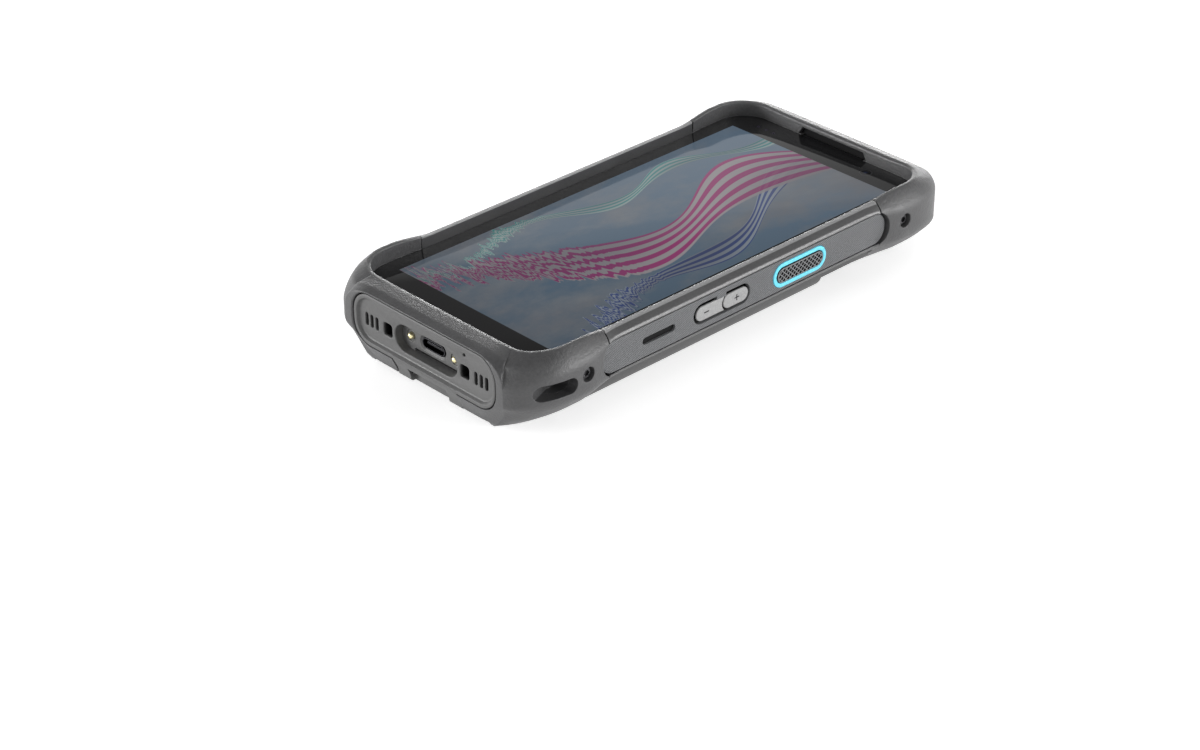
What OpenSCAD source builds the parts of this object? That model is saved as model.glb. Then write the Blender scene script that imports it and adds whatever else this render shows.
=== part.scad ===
// Handheld barcode data terminal: a rugged touch-screen handheld that lies on its back.
// X runs across the screen, +Y towards the scanner end, +Z out of the screen.
// Z = 0 is the surface that the four ridges on the back rest on.

/* [Screen] */
// Width of the dark border between the picture and each end of the glass
border_end = 10.3; // [9.5:0.1:12]
// Width of the dark border along each long side of the picture
border_side = 2.55; // [2.2:0.05:4]
// Distance from the cover glass to each end face
glass_margin = 8; // [7.4:0.1:8.6]
// Width of each side rail between the glass and the side inlay's face
rail_w = 3.2; // [3:0.05:3.6]
// Extra glass width at the bumpers, each side
glass_bulge = 0.7; // [0:0.1:0.9]
// Thickness of the cover glass
glass_t = 1.2; // [0.8:0.1:1.5]
// Thickness of the display module behind the glass
display_t = 1.8; // [1.2:0.1:2.2]

/* [Body] */
// Overall length, end face to end face
body_l = 166; // [164:0.2:170]
// Width across the two side inlays
grip_w = 76.2; // [75.6:0.1:78]
// How far each bumper stands out beyond the inlays
bumper_flare = 2.2; // [1.2:0.1:3]
// Height of the glass above the resting ridges
glass_z = 19.5; // [19:0.1:20.5]
// Rim height above the glass along the side rails
rim_side = 2.9; // [2:0.1:3.4]
// Rim height above the glass at the corners
rim_corner = 4.8; // [4:0.1:5.4]
// Rim height above the glass across the two ends
rim_end = 3.9; // [3.2:0.1:4.4]
// Length of each bumper along the sides
bumper_l = 30.6; // [29:0.1:32]
// Width of the flat part of each end face
end_flat_w = 62.4; // [60:0.2:64]
// Visible gap between neighbouring covers
seam_gap = 0.3; // [0.2:0.05:0.4]
// Height of the joint between front frame and rear housing
parting_z = 9.9; // [9.8:0.05:10.1]

/* [Side keys] */
// How far each side inlay runs on under the bumpers
inlay_over = 2.9; // [2.4:0.1:3.4]
// Height of each side inlay
inlay_h = 9.9; // [9.4:0.1:10.2]
// Height of the side keys' centre line
key_z = 15.4; // [15.2:0.1:15.6]
// Thickness of the side inlays
inlay_t = 1.4; // [1:0.1:1.8]
// Length of a scan key with its ring
scan_l = 21.2; // [19:0.1:22]
// Width of a scan key with its ring
scan_h = 7.4; // [6.6:0.1:7.8]
// Width of the coloured ring round a scan key
ring_w = 1.1; // [0.8:0.1:1.4]
// Distance of the scan keys from the middle
scan_y = 19.9; // [18:0.1:24]
// Length of the well that holds the two volume keys
volume_l = 21.4; // [20:0.1:22]
// Width of the volume keys' well
volume_h = 6.6; // [6:0.1:7]
// Distance of the volume keys' middle below the device's middle
volume_y = 10.3; // [10:0.1:13]
// Travel of each side key
key_travel = 0.5; // [0.3:0.05:0.6]
// Clearance round every key
key_gap = 0.2; // [0.15:0.05:0.3]

/* [Battery] */
// Distance from the charging end to the battery bay
bay_low_in = 20.8; // [20.4:0.1:22]
// Distance from the scanner end to the battery bay
bay_top_in = 36; // [35:0.1:37]
// How far the battery pack's long sides stay inside the inlays' faces
battery_side_in = 1.5; // [1.3:0.1:2.1]
// Width of the flat face of the battery pack
battery_flat_w = 53; // [50:0.2:56]
// Height of the battery's flat face above the resting ridges
battery_z = 1.3; // [1:0.1:1.8]
// Height of the floor of the battery bay
bay_z = 8.4; // [8.2:0.05:8.6]
// Clearance between battery pack and bay
battery_gap = 0.35; // [0.25:0.05:0.5]

/* [Scanner end] */
// Width of the scanner window's recess
scan_window_w = 25.4; // [24:0.1:26]
// Height of the scanner window's recess
scan_window_h = 7.6; // [7:0.1:8]
// Width of the power key
power_w = 7.4; // [6.8:0.1:7.8]
// Height of the power key
power_h = 8; // [7.4:0.1:8.4]

/* [Charging end] */
// Width of the charging pocket
dock_w = 24.6; // [23:0.1:26]
// Height of the charging pocket
dock_h = 8; // [7.4:0.1:8.4]
// Depth of the charging pocket
dock_d = 3.4; // [3:0.1:3.6]
// Distance of each charging pin from the middle
dock_pin_x = 8.7; // [8:0.1:9.2]
// Width of the socket opening
usb_w = 8.34; // [8.3:0.02:8.4]
// Height of the socket opening
usb_h = 2.56; // [2.5:0.02:2.6]

/* [Back] */
// Width of the camera window
camera_w = 48.2; // [46:0.2:49]
// Depth of the camera window below the resting ridges
camera_z = 3; // [2.6:0.1:3.4]
// Radius of the sunk screw holes in the bumpers' backs
rear_hole_r = 2.1; // [1.8:0.1:2.4]
// Radius of the recess round each side screw
side_hole_r = 2.1; // [1.8:0.1:2.2]
// Width of the slot at the strap bar
strap_slot_w = 16; // [14:0.2:17]
// Opening of the slot at the strap bar
strap_slot_l = 2.6; // [2:0.1:3.2]
// Length of the lanyard slots in the charging-end bumper
lanyard_l = 12.6; // [11:0.1:13]
// Height of the lanyard slots
lanyard_h = 4.6; // [4.3:0.1:5]

/* [Hidden] */

bumper_col = "#5a5a5a";
inlay_col = "#808285";
key_col = "#b5b5b5";
ring_col = "#6fdcf5";
dark_col = "#2b2b2b";

half_l = body_l / 2;
seam_y = half_l - bumper_l;
glass_l = body_l - 2 * glass_margin;
inlay_l = 2 * (seam_y + inlay_over);
beyond = 60 + half_l;          // further out than anything else
grip_x = grip_w / 2;
glass_w = grip_w - 2 * rail_w;
screen_w = glass_w - 2 * border_side;
screen_l = glass_l - 2 * border_end;
bumper_x = grip_x + bumper_flare;
end_x = end_flat_w / 2;
corner_y = half_l - 18;        // where the corners run into the sides
flare_outer = half_l - 21;     // the flare has its full width beyond here
flare_inner = seam_y - 5;      // and is gone inside here
glass_x = glass_w / 2;
glass_y = glass_l / 2;
glass_corner_in = end_x - 27;  // the glass corners start this much further in
side_top = key_z + inlay_h / 2 + 0.05;
side_low = key_z - inlay_h / 2 - 0.05;

// ---- outer shell -------------------------------------------------------------------
// One row per level of the shell, from the foot of the rim at the glass, over the crest,
// down the side and under to the ridge on the back. Each row gives the insets
// [bottom end, top end, corner start, bumper, rail], the heights
// [bottom end, top end, bottom corner, top corner, bumper, rail] and the corner's crease.
foot_end = half_l - glass_y;
foot_bumper = bumper_x - glass_x - glass_bulge;
foot_rail = grip_x - glass_x;
crest_end = glass_z + rim_end;
crest_corner = glass_z + rim_corner;
crest_side = glass_z + rim_side;
band_top = key_z + 3;          // upright band along the bumpers' sides
band_low = key_z - 3.6;
face_low = 3;                  // lower edge of both end faces
ridge_x = 26.6;                // outer edge of the ridges it rests on
ridge_in = bumper_x - ridge_x;
LEVELS = [
    [[foot_end, foot_end, glass_corner_in, foot_bumper, foot_rail],
        [glass_z, glass_z, glass_z, glass_z, glass_z, glass_z], 0],
    [[foot_end - 0.1, foot_end - 0.1, glass_corner_in, foot_bumper + 0.2, foot_rail + 0.3],
        [crest_end - 0.3, crest_end - 0.3, crest_end - 0.1, crest_end - 0.1,
         crest_corner - 0.2, crest_side - 0.1], 0],
    [[foot_end - 1.2, foot_end - 1.2, glass_corner_in - 0.4, foot_bumper - 1.1, foot_rail - 1.2],
        [crest_end, crest_end, crest_end + 0.2, crest_end + 0.2, crest_corner, crest_side], 0],
    [[2.6, 3.4, 1.9, 1.7, 1.1],
        [crest_end - 0.1, crest_end - 0.9, crest_end - 0.4, crest_end - 1.1,
         crest_corner - 2.2, crest_side - 0.9], 0.5],
    [[0.6, 1, 0.5, 0.4, 0.4],
        [crest_end - 0.35, glass_z + 0.9, crest_end - 1, glass_z + 0.7,
         band_top + 1.5, side_top + 0.9], 1],
    [[0, 0, 0, 0, 0],
        [crest_end - 0.7, glass_z - 1.2, crest_end - 1.9, glass_z - 1.3, band_top, side_top], 1],
    [[0, 0, 0, 0, 0], [face_low, face_low, 6.8, 6.8, band_low, side_low], 1],
    [[0.5, 0.5, 0.8, 0.6, 0.4], [2.4, 2.4, 5.8, 5.8, band_low - 2.2, parting_z], 1],
    [[1.2, 1.2, 2.4, 3.6, 1.7], [2, 1.9, 4.2, 4.2, 5.8, bay_z], 1],
    [[2, 2, 5, 9, 5.8], [1.7, 1.7, 2.3, 2.3, 2.2, 4.2], 1],
    [[3, 3, 8, ridge_in, 11.2], [1.5, 1.5, 1.5, 1.5, 0, battery_z], 1]];

function mix(a, b, t) = a + (b - a) * t;
function smooth(t) = t <= 0 ? 0 : t >= 1 ? 1 : t * t * (3 - 2 * t);
function bezier(a, b, c, d, t) =
    a * pow(1 - t, 3) + b * 3 * t * pow(1 - t, 2) + c * 3 * t * t * (1 - t) + d * pow(t, 3);

END_STEPS = [0, 0.5, 0.84, 1];          // along the flat of an end, as a share of it
CORNER_STEPS = [1, 2, 3, 4, 5, 6];      // sevenths of the way round a corner
// Where each level has points along a side, from the corner to the middle
SIDE_STEPS = concat([corner_y], [for (t = [0.85, 0.62, 0.42, 0.2, 0]) mix(seam_y, flare_outer, t)],
    [mix(flare_inner, seam_y, 0.6), flare_inner, flare_inner * 0.4]);
LEVEL_N = len(LEVELS);
QUARTER = len(END_STEPS) + len(CORNER_STEPS) + len(SIDE_STEPS);
STATIONS = 4 * QUARTER - 2;

// Points of one quarter of a level; dir is -1 for the charging end, 1 for the scanner end
function quarter_points(level, dir) =
    let (ins = level[0], zs = level[1], crease = level[2], e = dir < 0 ? 0 : 1,
         ey = half_l - ins[e], ex = end_x - ins[2], bx = bumper_x - ins[3],
         rx = grip_x - ins[4], ze = zs[e], zc = zs[2 + e], zb = zs[4], zr = zs[5],
         p1 = [ex + 0.5 * (bx - ex), ey - crease * 0.12 * (ey - corner_y)],
         p2 = [bx, mix(corner_y, ey, 0.55)])
    concat(
        [for (s = END_STEPS) [ex * s, dir * ey, s < 1 ? ze : zc]],
        [for (k = CORNER_STEPS)
            let (p = bezier([ex, ey], p1, p2, [bx, corner_y], k / 7))
            [p[0], dir * p[1], mix(zc, zb, smooth(k / 7))]],
        [for (y = SIDE_STEPS)
            let (w = smooth((y - flare_inner) / (flare_outer - flare_inner)))
            [mix(rx, bx, w), dir * y, mix(zr, zb, w)]]);

function reversed(list) = [for (i = [len(list) - 1:-1:0]) list[i]];
// One closed level, anticlockwise from the middle of the charging end
function level_points(level) =
    let (low = quarter_points(level, -1), high = reversed(quarter_points(level, 1)),
         right = concat(low, high), n = len(right))
    concat(right, [for (i = [n - 2:-1:1]) [-right[i][0], right[i][1], right[i][2]]]);
function flat_outline(level) = [for (p = level_points(level)) [p[0], p[1]]];

module outer_shell() {
    n = STATIONS;
    mid = n / 2;
    ends = len(END_STEPS);
    sides = [for (j = [0:LEVEL_N - 2]) for (i = [0:n - 1])
        let (a = j * n + i, b = j * n + (i + 1) % n) each [[a, b, b + n], [a, b + n, a + n]]];
    cap = concat(
        [concat([for (i = [n - ends:n - 1]) i], [for (i = [0:ends]) i])],
        [for (i = [ends:mid - ends - 1]) [i, i + 1, n - i - 1, n - i]],
        [[for (i = [mid - ends:mid + ends]) i]]);
    last = (LEVEL_N - 1) * n;
    polyhedron(
        points = [for (level = LEVELS) each level_points(level)],
        faces = concat(sides, [for (f = cap) reversed(f)], [for (f = cap) [for (i = f) i + last]]),
        convexity = 6);
}

// ---- shared helpers ----------------------------------------------------------------
module box(x0, x1, y0, y1, z0, z1) {
    translate([x0, y0, z0]) cube([x1 - x0, y1 - y0, z1 - z0]);
}
module both_sides() {
    children();
    mirror([1, 0, 0]) children();
}
// Upright plate: a polygon of [x, z] points, from y0 to y1
module plate_y(points, y0, y1) {
    translate([0, y1, 0]) rotate([90, 0, 0]) linear_extrude(y1 - y0) polygon(points);
}
// Long slot with round ends, lying along Y, on the right side, from x0 to x1
module side_slot(l, h, x0, x1, y, z) {
    for (s = [-1, 1])
        translate([x0, y + s * (l - h) / 2, z]) rotate([0, 90, 0])
            cylinder(h = x1 - x0, d = h, $fn = 32);
    box(x0, x1, y - (l - h) / 2, y + (l - h) / 2, z - h / 2, z + h / 2);
}
// Slot with round ends along X, in an end face, from y0 to y1
module end_slot(l, h, y0, y1, x, z) {
    for (s = [-1, 1])
        translate([x + s * (l - h) / 2, y0, z]) rotate([-90, 0, 0])
            cylinder(h = y1 - y0, d = h, $fn = 32);
    box(x - (l - h) / 2, x + (l - h) / 2, y0, y1, z - h / 2, z + h / 2);
}
// Rounded rectangle in plan
module round_rect(x0, x1, y0, y1, r) {
    for (x = [x0 + r, x1 - r]) for (y = [y0 + r, y1 - r]) translate([x, y]) circle(r, $fn = 24);
    translate([x0 + r, y0]) square([x1 - x0 - 2 * r, y1 - y0]);
    translate([x0, y0 + r]) square([x1 - x0, y1 - y0 - 2 * r]);
}
// Rounded rectangle standing in an end face, from y0 to y1
module end_plate(x0, x1, z0, z1, r, y0, y1) {
    translate([0, y1, 0]) rotate([90, 0, 0]) linear_extrude(y1 - y0) round_rect(x0, x1, z0, z1, r);
}
// Rounded rectangle standing on a side, from x0 to x1 (given as y and z limits)
module side_plate(y0, y1, z0, z1, r, x0, x1) {
    translate([x0, 0, 0]) rotate([90, 0, 90]) linear_extrude(x1 - x0)
        round_rect(y0, y1, z0, z1, r);
}

// ---- covers: zones and shared cutters --------------------------------------------------
bay_top_y = half_l - bay_top_in;
bay_low_y = -half_l + bay_low_in;
bay_x = 24.5;                  // the bay's ends are square to here, then slant
bay_side_x = grip_x + 0.1;
bay_low_side_y = bay_low_y + 6.2;
core_y = half_l - 5;           // ends of the frame's blocks under the bumpers
core_x = grip_x - 1.1;
core_corner_y = core_y - 8;
core_corner_x = end_x - 0.7;
core_low_x = bay_x + 2.5;
core_low_z = camera_z + 1.2;   // back of the rear housing's end blocks

bumper_back_top = [[-bay_x, bay_top_y], [bay_x, bay_top_y], [bay_side_x, seam_y],
    [beyond, seam_y], [beyond, beyond], [-beyond, beyond], [-beyond, seam_y],
    [-bay_side_x, seam_y]];
bumper_back_low = [[-beyond, -beyond], [beyond, -beyond], [beyond, -seam_y],
    [bay_side_x, -seam_y], [bay_side_x, bay_low_side_y], [bay_x + 2, bay_low_y],
    [-bay_x - 2, bay_low_y], [-bay_side_x, bay_low_side_y], [-bay_side_x, -seam_y],
    [-beyond, -seam_y]];

module bumper_zone(dir) {
    translate([0, 0, -1]) linear_extrude(parting_z + 1)
        polygon(dir > 0 ? bumper_back_top : bumper_back_low);
    y0 = dir > 0 ? seam_y + seam_gap / 2 : -beyond;
    box(-beyond, beyond, y0, y0 + beyond - seam_y - seam_gap / 2, parting_z, beyond);
}
core_plan = [[core_x, -core_corner_y], [core_x, core_corner_y], [core_corner_x, core_y],
    [-core_corner_x, core_y], [-core_x, core_corner_y], [-core_x, -core_corner_y],
    [-core_corner_x, -core_y], [core_corner_x, -core_y]];
core_low_plan = [[-bay_x, bay_top_y], [bay_x, bay_top_y], [core_low_x, bay_top_y + 1.4],
    [core_low_x, core_y], [-core_low_x, core_y], [-core_low_x, bay_top_y + 1.4]];
module upper_core() {
    translate([0, 0, parting_z]) linear_extrude(glass_z - parting_z) polygon(core_plan);
}
module lower_core() {
    translate([0, 0, core_low_z]) linear_extrude(parting_z - core_low_z)
        polygon(core_low_plan);
    box(-bay_x - 2, bay_x + 2, -core_y, bay_low_y, core_low_z, parting_z);
}
// Dished areas of the back between the ridges
top_dish = [[0, bay_top_y - 1], [24.2, bay_top_y - 1], [24.2, half_l - 20],
    [23.9, half_l - 15], [23.2, half_l - 10], [22.3, half_l - 5], [21.8, half_l - 1],
    [21.8, half_l + 7], [0, half_l + 7]];
low_dish = [[0, bay_low_y + 1], [24.4, bay_low_y + 1], [24.4, -half_l + 17],
    [23.9, -half_l + 12], [23.2, -half_l + 6], [22.8, -half_l + 1], [22.8, -half_l - 7],
    [0, -half_l - 7]];
module dish_side(points) {
    rotate([90, 0, 90]) translate([0, 0, -40]) linear_extrude(80) polygon(points);
}
module back_dishes() {
    intersection() {
        both_sides() translate([0, 0, -2]) linear_extrude(9) polygon(top_dish);
        dish_side([[bay_top_y - 1, -2], [half_l + 7, -2], [half_l + 7, 1.1],
            [half_l - 3, 1.8], [camera_y1 + 0.3, camera_z], [bay_top_y - 1, camera_z]]);
    }
    intersection() {
        both_sides() translate([0, 0, -2]) linear_extrude(9) polygon(low_dish);
        dish_side([[bay_low_y + 1, -2], [-half_l - 7, -2], [-half_l - 7, 2.6],
            [-half_l + 11, 1.5], [bay_low_y - 1.5, 1.3], [bay_low_y, 2.2],
            [bay_low_y + 1, 2.2]]);
    }
}

// Screws that hold the bumpers on, one each side at both ends
side_screw_in = 21.6;          // from each end
side_screw_y = half_l - side_screw_in;
side_screw_z = key_z;
screw_r = 0.9;                 // threads
screw_head_r = 1.5;
rear_head_r = 1.8;
rear_top_x = 29.4;
rear_top_in = 15.4;
rear_low_x = 30.6;
rear_low_in = 16.5;
module side_screw_holes(r, x0) {
    both_sides() for (s = [-1, 1])
        translate([x0, s * side_screw_y, side_screw_z]) rotate([0, 90, 0])
            cylinder(h = 50 - x0, r = r, $fn = 32);
}
rear_screw_spots = [[rear_top_x, half_l - rear_top_in], [rear_low_x, -half_l + rear_low_in]];
module rear_screw_places() {
    both_sides() for (p = rear_screw_spots) translate([p[0], p[1], 0]) children();
}
module rear_screw_holes(r, z0, z1) {
    rear_screw_places() translate([0, 0, z0]) cylinder(h = z1 - z0, r = r, $fn = 32);
}

// End panels
panel_x = 28;
panel_r = 6;
low_panel_z0 = 7.3;
low_panel_z1 = 21.9;
top_panel_z0 = 2.9;
top_panel_z1 = 16.3;
panel_face_y = half_l - 0.3;
dish_y = half_l - 1.3;         // the panels' faces are dished to here
dish_rim = 1.6;
panel_back = core_y;

// ---- strap bar at the charging end, part of the end panel there ---------------------------
strap_out_x = 12.6;
strap_in_x = 9.2;
strap_in_y = -half_l + 12;
strap_slot_y = strap_in_y - strap_slot_l;  // the bar starts here
strap_notch_y = -half_l + 3.9;             // and ends here
strap_low_z = 0.9;
strap_bar_z = 3.2;
strap_roof_z = 6.2;
strap_top_z = 7.6;
module strap_plan(grow) {
    straight_y = -half_l + 3;
    polygon([[-strap_in_x - grow, strap_in_y + grow], [-strap_out_x - grow, straight_y],
        [-strap_out_x - grow, -half_l - grow], [strap_out_x + grow, -half_l - grow],
        [strap_out_x + grow, straight_y], [strap_in_x + grow, strap_in_y + grow]]);
}
module strap_space() {
    translate([0, 0, -2]) linear_extrude(strap_top_z + 2) strap_plan(seam_gap);
}
module strap_cap() {
    x = strap_slot_w / 2;
    difference() {
        intersection() {
            translate([0, 0, strap_low_z]) linear_extrude(strap_top_z - strap_low_z)
                strap_plan(0);
            rotate([90, 0, 90]) translate([0, 0, -20]) linear_extrude(40)
                polygon([[strap_in_y + 1, strap_low_z + 1.4], [strap_slot_y, strap_low_z + 1.2],
                    [strap_slot_y - 1.4, strap_low_z], [-half_l + 2.4, strap_low_z],
                    [-half_l + 1.1, strap_low_z + 1.4], [-half_l + 0.5, strap_low_z + 3.6],
                    [-half_l + 0.3, strap_top_z], [strap_in_y + 1, strap_top_z]]);
        }
        box(-x, x, strap_slot_y, strap_in_y - 0.6, 0, strap_roof_z);
        box(-x, x, -half_l + 1.7, strap_in_y - 0.6, strap_bar_z, strap_roof_z);
        box(-x + 1, x - 1, -half_l + 1.7, strap_notch_y, 0, strap_bar_z + 1);
        box(-x + 1, x - 1, -half_l - 1, strap_notch_y, 0, strap_low_z + 1.5);
    }
}

// ---- front frame and rear housing ----------------------------------------------------
floor_z = glass_z - glass_t - display_t;   // seat of the display module
frame_floor_t = 1.2;
board_top = floor_z - frame_floor_t;       // ceiling of the space for the board
inlay_r = 4.6;
inlay_y0 = -inlay_l / 2;
inlay_seat_x = grip_x - inlay_t;
switch_x = grip_x - 3.6;                   // inner wall of the key wells

module inlay_space(grow) {
    both_sides() side_plate(inlay_y0 - grow, -inlay_y0 + grow, key_z - inlay_h / 2 - grow,
        key_z + inlay_h / 2 + grow, inlay_r + grow, inlay_seat_x,
        beyond);
}
module key_wells() {
    both_sides() side_slot(scan_l - 2 * ring_w, scan_h - 2 * ring_w, switch_x, beyond, scan_y,
        key_z);
    side_slot(volume_l, volume_h, switch_x, beyond, -volume_y, key_z);
}
pocket_x = screen_w / 2 + 0.85;            // pocket behind the glass
pocket_y = glass_y - 2.6;
board_x = pocket_x - 3.2;                  // space for the board
module front_frame() {
    color(bumper_col) difference() {
        union() {
            upper_core();
            intersection() {
                outer_shell();
                box(-beyond, beyond, -seam_y, seam_y, parting_z, beyond);
            }
        }
        translate([0, 0, glass_z - glass_t]) linear_extrude(9) polygon(flat_outline(LEVELS[0]));
        box(-pocket_x, pocket_x, -pocket_y, pocket_y, floor_z, glass_z);
        box(-board_x, board_x, -core_y + 7, core_y - 8, parting_z - 1, board_top);
        inlay_space(0);
        key_wells();
        side_screw_holes(screw_r, pocket_x + 0.2);
        rear_screw_holes(screw_r, parting_z - 1, parting_z + 4);
        // scanner pocket and openings towards both end panels
        box(engine_x0 - 2, power_x + 5, core_y - 9, core_y + 1, parting_z - 1, board_top);
        box(-speaker_x1 - 0.4, speaker_x1 + 0.4, -core_y - 1, -core_y + 7.4, parting_z - 1,
            dock_z + 3.8);
        box(-earpiece_w / 2 - 0.4, earpiece_w / 2 + 0.4, glass_y - 1.4, glass_y + 1.4,
            glass_z - 2, glass_z + 1);
        lanyard_slots();
    }
}
module rear_housing() {
    color(bumper_col) difference() {
        union() {
            lower_core();
            difference() {
                intersection() {
                    outer_shell();
                    box(-beyond, beyond, bay_low_y - 2, seam_y, bay_z, parting_z);
                }
                bumper_zone(1);
                bumper_zone(-1);
            }
            box(-bay_x, bay_x, bay_low_y - 1, bay_top_y + 1, bay_z, parting_z);
        }
        strap_space();
        rear_screw_holes(1.1, 0, parting_z + 1);
        // latch leg, connector, camera parts, scanner and power key pockets
        box(leg_x - latch_travel - 0.6, leg_x + 2.6, latch_mid_y - 2.4, latch_mid_y + 2.4, 0,
            parting_z + 1);
        box(-pogo_w / 2, pogo_w / 2, pogo_y - pogo_h / 2, pogo_y + pogo_h / 2, 0, parting_z + 1);
        camera_holes(0, parting_z + 1);
        box(engine_x0 - 2, engine_x1 + 2, core_y - 7, core_y + 1, 7, parting_z + 1);
        box(power_x - power_w / 2 - power_well_gap, power_x + power_w / 2 + power_well_gap,
            power_seat_y - 3.4, core_y + 1, power_z - power_h / 2 - power_well_gap,
            parting_z + 1);
        box(-speaker_x1 - 0.4, speaker_x1 + 0.4, -core_y - 1, -core_y + 6.5, low_panel_z0,
            parting_z + 1);
        terminal_space();
        grip_notch();
    }
}

// ---- bumpers ----------------------------------------------------------------------------
lanyard_y = -half_l + 11.4;
lanyard_z = key_z - 1;
lanyard_x = bumper_x - 6.5;    // bottom of the lanyard slots
module lanyard_slots() {
    both_sides() difference() {
        side_slot(lanyard_l, lanyard_h, lanyard_x, beyond, lanyard_y, lanyard_z);
        translate([0, 0, lanyard_z - 5]) linear_extrude(10)
            polygon([[lanyard_x - 1, lanyard_y + 1], [lanyard_x, lanyard_y + 1],
                [bumper_x - 1.4, lanyard_y - lanyard_l / 2 - 1], [lanyard_x - 1, -beyond]]);
    }
}
module bumper_base(dir) {
    difference() {
        intersection() {
            outer_shell();
            bumper_zone(dir);
        }
        upper_core();
        lower_core();
        back_dishes();
        inlay_space(seam_gap);
        side_screw_holes(side_hole_r, core_x + 1.4);
        side_screw_holes(1.1, core_x - 1);
        rear_screw_holes(rear_hole_r, -2, core_low_z + 3.4);
        rear_screw_holes(1.1, 0, 20);
    }
}
module bottom_bumper() {
    color(bumper_col) difference() {
        bumper_base(-1);
        end_plate(-panel_x - seam_gap, panel_x + seam_gap, low_panel_z0 - seam_gap,
            low_panel_z1 + seam_gap, panel_r + seam_gap, -beyond, -panel_back);
        strap_space();
        lanyard_slots();
    }
}
earpiece_w = 23.2;
module top_bumper() {
    color(bumper_col) difference() {
        bumper_base(1);
        end_plate(-panel_x - seam_gap, panel_x + seam_gap, top_panel_z0 - seam_gap,
            top_panel_z1 + seam_gap, panel_r + seam_gap, panel_back, beyond);
        camera_opening(seam_gap / 2, -2, core_low_z);
        // notch in the rim over the earpiece
        plate_y([[-earpiece_w / 2 - 2.2, glass_z - 1], [-earpiece_w / 2 - 0.2, glass_z + 2.4],
            [earpiece_w / 2 + 0.2, glass_z + 2.4], [earpiece_w / 2 + 2.2, glass_z - 1]],
            glass_y - 5, glass_y + 1.6);
    }
}

// ---- charging end -------------------------------------------------------------------------
dock_z = 13.7;
slot_w = 1.2;
slot_h = 3.9;
slot_pitch = 2.05;
slot_x = 19.6;
slot_xs = [for (i = [0:2]) slot_x + i * slot_pitch];
vent_x = 15.2;
vent_w = 3.4;
vent_h = 3.8;
mic_up = 5.1;
dock_floor_y = -dish_y + dock_d;
floor_t = 0.8;
speaker_x0 = vent_x - 2.8;
speaker_x1 = slot_xs[2] + 1.9;
module pin_holes() {
    for (x = [-dock_pin_x, dock_pin_x]) translate([x, -beyond, dock_z]) rotate([-90, 0, 0])
        cylinder(h = beyond - core_y + 6, r = 0.95, $fn = 24);
}
module low_panel_holes(y0, y1) {
    both_sides() {
        for (x = slot_xs) translate([x, y0, dock_z]) rotate([-90, 0, 0]) {
            for (s = [-1, 1]) translate([0, s * (slot_h - slot_w) / 2, 0])
                cylinder(h = y1 - y0, d = slot_w, $fn = 24);
            translate([-slot_w / 2, (slot_w - slot_h) / 2, 0])
                cube([slot_w, slot_h - slot_w, y1 - y0]);
        }
        end_plate(vent_x - vent_w / 2, vent_x + vent_w / 2, dock_z - vent_h / 2,
            dock_z + vent_h / 2, 0.8, y0, y1);
    }
    translate([vent_x, y0, dock_z + mic_up]) rotate([-90, 0, 0])
        cylinder(h = y1 - y0, d = 1, $fn = 24);
}
module bottom_end_panel() {
    color(inlay_col) strap_cap();
    color(inlay_col) difference() {
        end_plate(-panel_x, panel_x, low_panel_z0, low_panel_z1, panel_r, -panel_face_y,
            -panel_back);
        end_plate(-panel_x + dish_rim, panel_x - dish_rim, low_panel_z0 + dish_rim,
            low_panel_z1 - dish_rim, panel_r - 1, -beyond, -dish_y);
        end_slot(dock_w, dock_h, -beyond, dock_floor_y, 0, dock_z);
        low_panel_holes(-beyond, -core_y + 8);
        end_slot(usb_w + 0.8, usb_h + 0.8, -beyond, -core_y + 8, 0, dock_z);
        pin_holes();
    }
}
// Floor of the charging pocket, with a slot along its lower edge and a ring round the socket
module dock_floor() {
    color(inlay_col) difference() {
        end_slot(dock_w, dock_h, dock_floor_y - floor_t, dock_floor_y, 0, dock_z);
        end_slot(usb_w + 0.8, usb_h + 0.8, -beyond, -core_y + 8, 0, dock_z);
        end_slot(usb_w + 2.2, usb_h + 2.2, -beyond, dock_floor_y - floor_t + 0.25, 0, dock_z);
        box(-dock_w / 2 + 5, dock_w / 2 - 3, -beyond, -core_y, 0, dock_z - dock_h / 2 + 0.9);
        pin_holes();
    }
}
module usb_socket() {
    y1 = -core_y + 6.5;
    color("silver") difference() {
        end_slot(usb_w + 0.6, usb_h + 0.6, dock_floor_y - floor_t + 0.1, y1, 0, dock_z);
        end_slot(usb_w, usb_h, -beyond, y1 - 1, 0, dock_z);
    }
    color(dark_col) box(-usb_w / 2 + 0.9, usb_w / 2 - 0.9, dock_floor_y, y1 - 1, dock_z - 0.35,
        dock_z + 0.35);
}
module charging_pins() {
    color("gold") for (x = [-dock_pin_x, dock_pin_x])
        translate([x, dock_floor_y - 1.4, dock_z]) rotate([-90, 0, 0]) {
            cylinder(h = 6.4, r = 0.85, $fn = 24);
            translate([0, 0, 1.9]) cylinder(h = 1.2, r = 1.3, $fn = 24);
        }
}
module loudspeaker() {
    z0 = dock_z - 3.4;
    z1 = dock_z + 3.4;
    color(dark_col) difference() {
        box(speaker_x0, speaker_x1, -core_y, -core_y + 6.4, z0, z1);
        end_plate(speaker_x0 + 0.8, speaker_x1 - 0.8, z0 + 1, z1 - 1, 1, -beyond, -core_y + 1.2);
    }
}

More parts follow.
